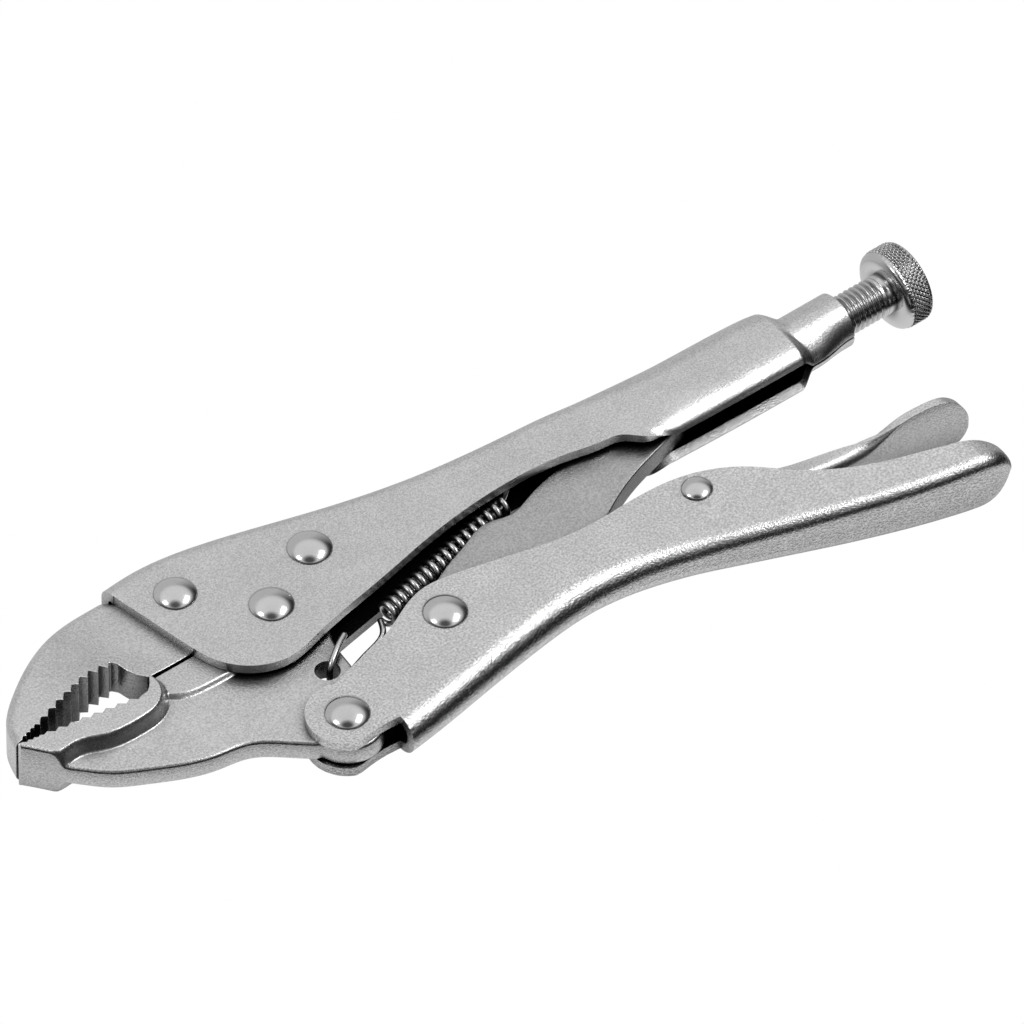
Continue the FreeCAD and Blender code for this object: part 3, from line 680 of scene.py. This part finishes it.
def knurled_knob(diamonds, depth):
    """The knob: a turned profile whose rim is cut by two families of winding V grooves.

    A groove's share is max(0, (max(|2a - 1|, |2b - 1|) - 0.35) / 0.65), a and b being the
    parts of a diamond along the two windings; the rim's radius falls by that share of depth.
    """
    front, rear = KNOB_BOX[0][0], KNOB_BOX[1][0]
    radius = KNOB_RADIUS
    rim = np.linspace(front + 1.9, rear - 0.9, 40)
    quarter = np.linspace(0, np.pi / 2, 7)
    shoulder = np.stack([radius - 1.9 + 1.75 * np.sin(quarter),
                         front + 1.75 - 1.75 * np.cos(quarter)], 1)
    heel = np.stack([radius - 1.0 + 0.9 * np.cos(quarter), rear - 0.9 + 0.9 * np.sin(quarter)], 1)
    profile = np.concatenate([
        [(0.3, front + 0.35), (4.4, front + 0.35), (5.6, front + 0.02)], shoulder,
        np.stack([np.full(rim.shape, radius), rim], 1), heel, [(5.2, rear), (0.3, rear)],
    ])
    turn = np.linspace(0, 2 * np.pi, diamonds * 6, endpoint=False)
    a = np.mod(diamonds * turn / (2 * np.pi) + profile[:, 1:] / KNURL_STEP, 1)
    b = np.mod(diamonds * turn / (2 * np.pi) - profile[:, 1:] / KNURL_STEP, 1)
    groove = np.clip((np.maximum(np.abs(2 * a - 1), np.abs(2 * b - 1)) - 0.35) / 0.65, 0, 1)
    on_rim = ease(radius - 0.3, radius - 0.02, profile[:, :1])
    r = profile[:, :1] - depth * groove * on_rim
    return wrapped(spun_rings(r, profile[:, 1:] + 0 * turn, turn, (0, SCREW_LINE, 0), (1, 0, 0)))


def wire(path, radius, reference, around=10):
    """A round wire along a path: rings across the tangent, turned from a fixed direction."""
    tangent = np.gradient(path, axis=0)
    tangent /= np.linalg.norm(tangent, axis=1, keepdims=True)
    side = np.cross(tangent, reference)
    side /= np.linalg.norm(side, axis=1, keepdims=True)
    up = np.cross(tangent, side)
    turn = np.linspace(0, 2 * np.pi, around, endpoint=False)
    spoke = np.cos(turn)[None, :, None] * side[:, None] + np.sin(turn)[None, :, None] * up[:, None]
    return wrapped(path[:, None] + radius * spoke)


COIL_FRONT, COIL_REAR = np.array([21.5, -13.9, 0.0]), np.array([64.0, -3.2, 0.0])


def spring_coil(turns, radius):
    """The extension spring: a helix whose turns open slightly to the rear, and two legs."""
    axis = COIL_REAR - COIL_FRONT
    unit = axis / np.linalg.norm(axis)
    side = np.cross(unit, [0, 0, 1])
    s = np.linspace(0, 1, turns * 26)
    turn = 2 * np.pi * turns * (1.12 * s - 0.12 * s * s) - 2.2
    mean = COIL_RADIUS - radius
    path = COIL_FRONT + s[:, None] * axis + mean * (
        np.cos(turn)[:, None] * side + np.sin(turn)[:, None] * np.array([0, 0, 1.0]))
    start, end = path[0], path[-1]
    front = smooth([start, (19.6, -15.6, -2.7), (14, -17.6, -3.7), (8, -19.4, -4.1),
                    (3, -20.8, -4.0), (0.5, -21.2, -2.6), (0.0, -21.2, 0), (0.5, -20.9, 3.0),
                    (2.6, -19.6, 4.3), (5.6, -17.6, 4.6), (8.4, -15.9, 4.4)], 90)
    rear = smooth([end, (66.5, -1.0, 2.3), (69.0, 2.2, 2.4), (70.6, 4.6, 2.3)], 30)
    return joined(
        wire(path, radius, unit), wire(front, radius, (0.5, -0.85, 0.1)),
        wire(rear, radius, (0.8, -0.5, 0.2)),
    )


# ---- finishes ----------------------------------------------------------------------

FLOAT, VECTOR = "NodeSocketFloat", "NodeSocketVector"


def new_group(name, inputs, outputs):
    """An empty shader node group with its sockets, given as (label, socket type, default)."""
    group = bpy.data.node_groups.new(name, "ShaderNodeTree")
    for label, kind, default in inputs:
        group.interface.new_socket(label, in_out="INPUT", socket_type=kind).default_value = default
    for label, kind in outputs:
        group.interface.new_socket(label, in_out="OUTPUT", socket_type=kind)
    return group, group.nodes.new("NodeGroupInput").outputs, group.nodes.new("NodeGroupOutput").inputs


def add(tree, kind, link=(), **settings):
    """A node with its settings, its constant sockets and its links, as {socket: value or output}."""
    node = tree.nodes.new(kind)
    for key, value in settings.items():
        setattr(node, key, value)
    for socket, value in dict(link).items():
        if isinstance(value, bpy.types.NodeSocket):
            tree.links.new(value, node.inputs[socket])
        else:
            node.inputs[socket].default_value = value
    return node.outputs


def fresh_tree(owner):
    """The emptied node tree of a material or a world."""
    owner.use_nodes = True
    owner.node_tree.nodes.clear()
    return owner.node_tree


def spread(tree, value, low, high, first=0.0, last=1.0, **settings):
    """A Map Range node; what lies between low and high is spread from first to last."""
    return add(tree, "ShaderNodeMapRange", {0: value, 1: low, 2: high, 3: first, 4: last},
               **settings)[0]


def noise(tree, place, scale, detail=2.0, rough=0.5):
    """A Noise node's value at a place."""
    return add(tree, "ShaderNodeTexNoise",
               {"Vector": place, "Scale": scale, "Detail": detail, "Roughness": rough})[0]


def agreement(tree, first, second):
    """How closely two directions agree, 1 when they are the same."""
    return add(tree, "ShaderNodeVectorMath", {0: first, 1: second}, operation="DOT_PRODUCT")["Value"]


def math_node(tree, operation, first, second=0.0, clamp=False):
    """One Math node; returns its value."""
    return add(tree, "ShaderNodeMath", {0: first, 1: second}, operation=operation, use_clamp=clamp)[0]


def sand_grain_group():
    """Fine pitting of blasted and plated steel: its height, and a broad mottle."""
    group, given, result = new_group(
        "sand_grain",
        [("Place", VECTOR, (0, 0, 0)), ("Scale", FLOAT, 2500.0)],
        [("Height", FLOAT), ("Mottle", FLOAT)],
    )
    group.links.new(noise(group, given["Place"], given["Scale"], 3.0, 0.65), result["Height"])
    group.links.new(noise(group, given["Place"], 85.0, 3.0, 0.55), result["Mottle"])
    return group


def rub_marks_group():
    """Short faint scratches, in patches, along one direction that Turn sets."""
    group, given, result = new_group(
        "rub_marks",
        [("Place", VECTOR, (0, 0, 0)), ("Turn", VECTOR, (0, 0, 0.3))],
        [("Mask", FLOAT)],
    )
    turned = add(group, "ShaderNodeMapping", {"Vector": given["Place"], "Rotation": given["Turn"],
                                              "Scale": (90, 3200, 3200)})[0]
    thin = spread(group, noise(group, turned, 1.0, 1.5), 0.60, 0.74)
    where = spread(group, noise(group, given["Place"], 60.0), 0.48, 0.66)
    group.links.new(math_node(group, "MULTIPLY", thin, where), result["Mask"])
    return group


def edge_wear_group():
    """1 on convex and concave edges within a radius, from how far a bevelled normal turns."""
    group, given, result = new_group(
        "edge_wear", [("Radius", FLOAT, 0.0005)], [("Mask", FLOAT)],
    )
    bevelled = add(group, "ShaderNodeBevel", {"Radius": given["Radius"]}, samples=4)[0]
    plain = add(group, "ShaderNodeNewGeometry")["Normal"]
    turned = math_node(group, "SUBTRACT", 1.0, agreement(group, bevelled, plain))
    group.links.new(math_node(group, "MULTIPLY", turned, 5.0, clamp=True), result["Mask"])
    return group


def painted_gap_shade_group():
    """1 in the open and 0 deep in gaps, from the sky that a place can see nearby; it masks the shade
    painted into the colour in gaps and corners.
    """
    group, given, result = new_group(
        "crevice", [("Reach", FLOAT, 0.004)], [("Open", FLOAT)],
    )
    seen = add(group, "ShaderNodeAmbientOcclusion", {"Distance": given["Reach"]}, samples=6)["AO"]
    group.links.new(spread(group, seen, 0.3, 0.88), result["Open"])
    return group


def shared(name, build):
    """A node group by name, built the first time it is asked for."""
    return bpy.data.node_groups.get(name) or build()


def use(tree, group, link=()):
    """A group node with its sockets set; returns its outputs."""
    return add(tree, "ShaderNodeGroup", link, node_tree=group)


GRAIN_HEIGHT = 0.0004


def metal(name, colour, rough, grain=2600.0, depth=0.03, rub=0.06, wear=0.1, dark=0.05, reach=0.014,
          speckle=0.04):
    """A plated or bare steel: sand grain in the normal, rub marks, bright edges, and shade painted into
    gaps, down to dark times the colour within reach.
    """
    name += "_finish"
    if name in bpy.data.materials:
        return bpy.data.materials[name]
    material = bpy.data.materials.new(name)
    tree = fresh_tree(material)
    place = add(tree, "ShaderNodeTexCoord")["Object"]
    sand = use(tree, shared("sand_grain", sand_grain_group), {"Place": place, "Scale": grain})
    marks = use(tree, shared("rub_marks", rub_marks_group), {"Place": place})["Mask"]
    edges = use(tree, shared("edge_wear", edge_wear_group))["Mask"]
    # Painted shade: where other surfaces lie within reach, the colour falls towards dark times itself.
    gap = use(tree, shared("crevice", painted_gap_shade_group), {"Reach": reach})["Open"]
    painted_shade_colour = (*(dark * c for c in colour), 1.0)
    shaded = mix_colour(tree, gap, painted_shade_colour, (*colour, 1.0))
    worn = mix_colour(tree, math_node(tree, "MULTIPLY", edges, wear), shaded,
                      (*(min(1.0, 1.5 * c) for c in colour), 1.0))
    tone = spread(tree, sand["Mottle"], 0.3, 0.7, 0.95, 1.05)
    speck = spread(tree, sand["Height"], 0.36, 0.64, 1 - speckle, 1 + speckle)
    toned = add(tree, "ShaderNodeVectorMath", {0: worn, 3: math_node(tree, "MULTIPLY", tone, speck)},
                operation="SCALE")[0]
    rub_shift = math_node(tree, "MULTIPLY", marks, -2.0 * rub)
    shift = math_node(tree, "ADD", rub_shift, spread(tree, sand["Mottle"], 0.3, 0.7, -0.03, 0.03))
    roughness = math_node(tree, "ADD", shift, rough, clamp=True)
    relief = add(tree, "ShaderNodeBump",
                 {"Height": sand["Height"], "Strength": depth, "Distance": GRAIN_HEIGHT})[0]
    surface = add(tree, "ShaderNodeBsdfPrincipled", {
        "Base Color": toned, "Metallic": 1.0, "Roughness": roughness, "Normal": relief,
    })[0]
    add(tree, "ShaderNodeOutputMaterial", {"Surface": surface})
    return material


def mix_colour(tree, share, first, second):
    """A colour between two others."""
    return add(tree, "ShaderNodeMix", {0: share, 6: first, 7: second}, data_type="RGBA")[2]


# ---- the stage ---------------------------------------------------------------------

VIEW_TURN, VIEW_RISE, VIEW_DISTANCE, VIEW_LENS, VIEW_SENSOR = -38.23, 46.5, 7.192, 1120, 36
VIEW_TARGET = (0.0094, 0.0121, 0.0105)
FLOOR_REACH, FLOOR_HEIGHT = 3.0, -0.0005


def heading(turn, rise):
    """The unit vector that points towards a turn and a rise in degrees."""
    a, e = math.radians(turn), math.radians(rise)
    return (math.sin(a) * math.cos(e), -math.cos(a) * math.cos(e), math.sin(e))


def sky():
    """A studio surround, which the camera sees as white paper and only the metal as it is.

    It is dark at the horizon and below, pale above and on the +y side, and has one dark
    patch above the camera.
    """
    world = bpy.data.worlds.new("studio")
    tree = fresh_tree(world)
    way = add(tree, "ShaderNodeTexCoord")["Generated"]
    parts = add(tree, "ShaderNodeSeparateXYZ", {0: way})
    behind = back_wall(tree, parts[1])
    ramp_node = tree.nodes.new("ShaderNodeValToRGB")
    tree.links.new(parts[2], ramp_node.inputs[0])
    stops = [(0.0, 0.03), (0.3, 0.04), (0.46, 0.12), (0.64, 0.72), (0.74, 0.84), (0.88, 0.84),
             (1.0, 0.8)]
    elements = ramp_node.color_ramp.elements
    for _ in stops[2:]:
        elements.new(0.5)
    for element, (place, grey) in zip(elements, stops):
        element.position = place
        element.color = (grey, grey, grey, 1)
    patch = heading(VIEW_TURN, VIEW_RISE + 12)
    shade = spread(tree, agreement(tree, way, patch), 0.88, 0.97, 1.0, 0.1)
    level = math_node(tree, "MAXIMUM", ramp_node.outputs[0], behind)
    studio = add(tree, "ShaderNodeBackground", {"Color": level, "Strength": shade})[0]
    paper = add(tree, "ShaderNodeBackground", {"Color": (1, 1, 1, 1), "Strength": 1.0})[0]
    camera = add(tree, "ShaderNodeLightPath")["Is Camera Ray"]
    light = add(tree, "ShaderNodeMixShader", {0: camera, 1: studio, 2: paper})[0]
    add(tree, "ShaderNodeOutputWorld", {"Surface": light})
    bpy.context.scene.world = world


def back_wall(tree, along):
    """The pale wall behind the object, by how far a direction points along +y."""
    return spread(tree, along, 0.15, 0.7, 0.0, 0.6)


def floor_material(level):
    """A floor that the camera sees as an even pale paper, and the metal as a grey one."""
    material = bpy.data.materials.new("paper_floor")
    tree = fresh_tree(material)
    parts = add(tree, "ShaderNodeSeparateXYZ", {0: add(tree, "ShaderNodeNewGeometry")["Incoming"]})
    behind = back_wall(tree, math_node(tree, "MULTIPLY", parts[1], -1.0))
    front = spread(tree, parts[2], 0.5, 0.75, 0.01, level, interpolation_type="SMOOTHSTEP")
    lit = math_node(tree, "MAXIMUM", front, behind)
    camera = add(tree, "ShaderNodeLightPath")["Is Camera Ray"]
    strength = add(tree, "ShaderNodeMix", {0: camera, 2: lit, 3: 1.0}, data_type="FLOAT")[0]
    glow = add(tree, "ShaderNodeEmission", {"Color": (1, 1, 1, 1), "Strength": strength})[0]
    add(tree, "ShaderNodeOutputMaterial", {"Surface": glow})
    return material


def softbox(name, turn, rise, away, size, power):
    """A rectangular area light that looks at the object from a direction in degrees."""
    data = bpy.data.lights.new(name, "AREA")
    data.shape = "RECTANGLE"
    data.size, data.size_y = size
    data.energy = power
    light = in_scene(name, data)
    place_towards(light, turn, rise, away)


def place_towards(obj, turn, rise, away):
    """Stand an object away from the target in a direction, looking back at the target."""
    back = Vector(heading(turn, rise))
    obj.location = Vector(VIEW_TARGET) + away * back
    obj.rotation_euler = back.to_track_quat("Z", "Y").to_euler()


# ---- operators ---------------------------------------------------------------------

class PliersSizes(bpy.types.PropertyGroup):
    """Sizes that a user would change."""

    thread_pitch: bpy.props.FloatProperty(
        name="Thread pitch", description="How far the screw moves in one turn of its knob",
        default=0.0015, min=0.0008, max=0.003, unit="LENGTH")
    knurl_count: bpy.props.IntProperty(
        name="Knurl diamonds", description="Diamonds around the knob's rim", default=48, min=20, max=90)
    knurl_depth: bpy.props.FloatProperty(
        name="Knurl depth", description="Depth of the knob's knurled grooves",
        default=0.00055, min=0.0, max=0.0008, unit="LENGTH")
    spring_turns: bpy.props.IntProperty(
        name="Spring turns", description="Turns of the spring's coil", default=18, min=8, max=30)
    spring_wire: bpy.props.FloatProperty(
        name="Spring wire radius", description="Half the thickness of the spring's wire",
        default=0.00075, min=0.0003, max=0.0009, unit="LENGTH")
    rivet_dome: bpy.props.FloatProperty(
        name="Rivet dome", description="Height of the big rivets' domes above the sheet",
        default=0.0020, min=0.0005, max=0.0024, unit="LENGTH")
    rolled_edge: bpy.props.FloatProperty(
        name="Rolled edge", description="Rounding of the folded sheets' cut edges",
        default=0.0004, min=0.0, max=0.0006, unit="LENGTH")


class PliersFinish(bpy.types.PropertyGroup):
    """Colours and roughness that a user would change."""

    plating: bpy.props.FloatVectorProperty(
        name="Plating", description="Colour of the plated sheets", subtype="COLOR",
        default=(0.66, 0.66, 0.66), min=0, max=1)
    forging: bpy.props.FloatVectorProperty(
        name="Forging", description="Colour of the plated forgings", subtype="COLOR",
        default=(0.68, 0.68, 0.68), min=0, max=1)
    bare: bpy.props.FloatVectorProperty(
        name="Bare steel", description="Colour of rivets, spring and screw", subtype="COLOR",
        default=(0.66, 0.66, 0.66), min=0, max=1)
    roughness: bpy.props.FloatProperty(
        name="Roughness", description="Roughness of the plated sheets", subtype="FACTOR",
        default=0.27, min=0.05, max=1)
    floor: bpy.props.FloatProperty(
        name="Floor", description="How pale a floor the metal reflects", subtype="FACTOR",
        default=0.82, min=0, max=1)


# Each steel: the setting its colour comes from and the share of it, the share of the
# roughness setting and what is added to it, and what differs from the usual metal.
STEELS = {
    "plated_sheet": ("plating", 1, 1, 0, dict(grain=2300.0, depth=0.2, speckle=0.2)),
    "coarse_plated_sheet": ("plating", 1.1, 1, -0.04, dict(grain=1900.0, depth=0.42, speckle=0.24)),
    "plated_forging": ("forging", 1, 1, 0, dict(grain=2100.0, depth=0.2, rub=0.12, speckle=0.2)),
    # The link's steel is the forging darkened to 0.78, with a long reach: painted shade for the handle's
    # shadow over the link.
    "link_forging": ("forging", 0.78, 1, 0, dict(grain=2100.0, depth=0.2, reach=0.02, speckle=0.2)),
    "rivet_steel": ("bare", 1, 0, 0.15, dict(depth=0.02, reach=0.0015)),
    "spring_steel": ("bare", 1, 0, 0.28, dict(depth=0.02, reach=0.005)),
    "screw_steel": ("bare", 1, 0, 0.2, dict(depth=0.03, dark=0.2, reach=0.0018)),
}


def steel(name):
    """The finish of one of the steels, in the colours and roughness that the panel sets."""
    source, share, rough_share, rough_added, rest = STEELS[name]
    finish = bpy.context.scene.pliers_finish
    colour = tuple(share * c for c in getattr(finish, source))
    return metal(name, colour, rough_share * finish.roughness + rough_added, **rest)


class FixedHandle(bpy.types.Operator):
    """Build the fixed handle's folded sheet with its threaded tube"""

    bl_idname = "pliers.fixed_handle"
    bl_label = "Fixed handle"

    def execute(self, context):
        obj = piece("handle_sheet", "fixed_side", ["fixed_handle"], "plated_sheet", "plated_sheet",
                    *handle_sheet())
        soften_edges(obj, context.scene.pliers_sizes.rolled_edge)
        return {"FINISHED"}


class Jaws(bpy.types.Operator):
    """Build the fixed and the movable jaw's forgings"""

    bl_idname = "pliers.jaws"
    bl_label = "Jaws"

    def execute(self, context):
        piece("fixed_jaw_forging", "fixed_side", ["fixed_jaw"], "plated_forging", "plated_forging",
              *fixed_jaw_forging())
        jaw = piece("movable_jaw_forging", "movable_jaw", ["movable_jaw"], "plated_forging",
                    "plated_forging", *movable_jaw_forging())
        drill(jaw, *HOOK_HOLE, HOOK_HOLE_RADIUS)
        return {"FINISHED"}


class ToggleLink(bpy.types.Operator):
    """Build the toggle link between the lever and the screw"""

    bl_idname = "pliers.toggle_link"
    bl_label = "Toggle link"

    def execute(self, context):
        # The link takes the darkened copy of the forging finish, which is painted shade.
        piece("toggle_link_plate", "toggle_link", ["toggle_link"], "plated_forging", "link_forging",
              *toggle_link_plate())
        return {"FINISHED"}


class Levers(bpy.types.Operator):
    """Build the lever handle's folded sheet and the release lever on it"""

    bl_idname = "pliers.levers"
    bl_label = "Levers"

    def execute(self, context):
        roll = context.scene.pliers_sizes.rolled_edge
        lever = piece("lever_sheet", "lever", ["lever_handle"], "plated_sheet", "coarse_plated_sheet",
                      *lever_sheet())
        soften_edges(lever, roll)
        release = piece("release_sheet", "release_lever", ["release_lever"], "plated_sheet",
                        "plated_sheet", *release_sheet())
        soften_edges(release, 0.7 * roll)
        return {"FINISHED"}


class Rivets(bpy.types.Operator):
    """Build the domed rivets and the release lever's pin at their nodes' places"""

    bl_idname = "pliers.rivets"
    bl_label = "Rivets"

    def execute(self, context):
        dome = context.scene.pliers_sizes.rivet_dome / MM
        for node, body, seat, high in (
            ("front_jaw_rivet", "fixed_side", HALF_HANDLE, dome),
            ("rear_jaw_rivet", "fixed_side", HALF_HANDLE, dome),
            ("main_pivot_rivet", "fixed_side", HALF_HANDLE, dome),
            ("lever_pivot_rivet", "lever", HALF_LEVER, dome),
            ("link_pivot_rivet", "lever", HALF_LEVER, dome),
            ("release_pin", "lever", HALF_PIN, PIN_DOME * dome),
        ):
            low, high_corner = plan_box(node)
            middle = (low + high_corner) / 2
            head = (high_corner - low)[0] / 2
            piece(node + "_dome", body, [node], "rivet_steel", "rivet_steel",
                  *rivet(middle[:2], SHANK_SHARE * head, head, seat, high))
        return {"FINISHED"}


class Spring(bpy.types.Operator):
    """Build the extension spring, which runs between the handle and the movable jaw"""

    bl_idname = "pliers.spring"
    bl_label = "Spring"

    def execute(self, context):
        sizes = context.scene.pliers_sizes
        coil = piece("coil_spring", None, ["spring"], "spring_wire", "spring_steel",
                     *spring_coil(sizes.spring_turns, sizes.spring_wire / MM), sharp=180)
        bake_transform(coil)
        return {"FINISHED"}


class Screw(bpy.types.Operator):
    """Build the threaded adjusting screw and its knurled knob"""

    bl_idname = "pliers.screw"
    bl_label = "Adjusting screw"

    def execute(self, context):
        sizes = context.scene.pliers_sizes
        piece("threaded_screw", "screw", ["adjusting_screw"], "screw_steel", "screw_steel",
              *threaded_rod(sizes.thread_pitch / MM), sharp=60)
        piece("knurled_knob", "knob", ["screw_knob"], "knurled_knob", "screw_steel",
              *knurled_knob(sizes.knurl_count, sizes.knurl_depth / MM), sharp=50)
        return {"FINISHED"}


class Stage(bpy.types.Operator):
    """Set up the floor, the surround, the lights and the camera"""

    bl_idname = "pliers.stage"
    bl_label = "Stage"

    def execute(self, context):
        scene = context.scene
        scene.view_settings.view_transform = "Standard"
        sky()
        mesh = bpy.data.meshes.new("floor")
        corners = ((-1, -1), (1, -1), (1, 1), (-1, 1))
        mesh.from_pydata([(FLOOR_REACH * x, FLOOR_REACH * y, FLOOR_HEIGHT) for x, y in corners],
                         [], [(0, 1, 2, 3)])
        floor = in_scene("floor", mesh)
        mesh.materials.append(floor_material(scene.pliers_finish.floor))
        softbox("front_light", 50, 56, 1.2, (0.6, 0.3), 3.4)
        softbox("side_light", -105, 48, 1.2, (0.3, 0.3), 1.4)
        camera = in_scene("camera", bpy.data.cameras.new("camera"))
        camera.data.lens = VIEW_LENS
        camera.data.sensor_width = VIEW_SENSOR
        place_towards(camera, VIEW_TURN, VIEW_RISE, VIEW_DISTANCE)
        scene.camera = camera
        return {"FINISHED"}


class PliersPanel(bpy.types.Panel):
    """The sidebar's list of the pliers' pieces and settings"""

    bl_idname = "VIEW3D_PT_pliers"
    bl_label = "Locking pliers"
    bl_space_type = "VIEW_3D"
    bl_region_type = "UI"
    bl_category = "Pliers"

    def draw(self, context):
        layout = self.layout
        for group in (context.scene.pliers_sizes, context.scene.pliers_finish):
            box = layout.box()
            for name in group.__annotations__:
                box.prop(group, name)
        for operator in OPERATORS:
            layout.operator(operator.bl_idname)


OPERATORS = [FixedHandle, Jaws, ToggleLink, Levers, Rivets, Spring, Screw, Stage]
GROUPS = {"pliers_sizes": PliersSizes, "pliers_finish": PliersFinish}


def register():
    """Register the classes and hang the settings on the scene."""
    for cls in [*GROUPS.values(), *OPERATORS, PliersPanel]:
        bpy.utils.register_class(cls)
    for name, group in GROUPS.items():
        setattr(bpy.types.Scene, name, bpy.props.PointerProperty(type=group))


def unregister():
    """Take away what register added."""
    for name in GROUPS:
        delattr(bpy.types.Scene, name)
    for cls in [*GROUPS.values(), *OPERATORS, PliersPanel][::-1]:
        bpy.utils.unregister_class(cls)


def main():
    """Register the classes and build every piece."""
    register()
    for operator in OPERATORS:
        family, name = operator.bl_idname.split(".")
        getattr(getattr(bpy.ops, family), name)()


if __name__ == "__main__":
    main()
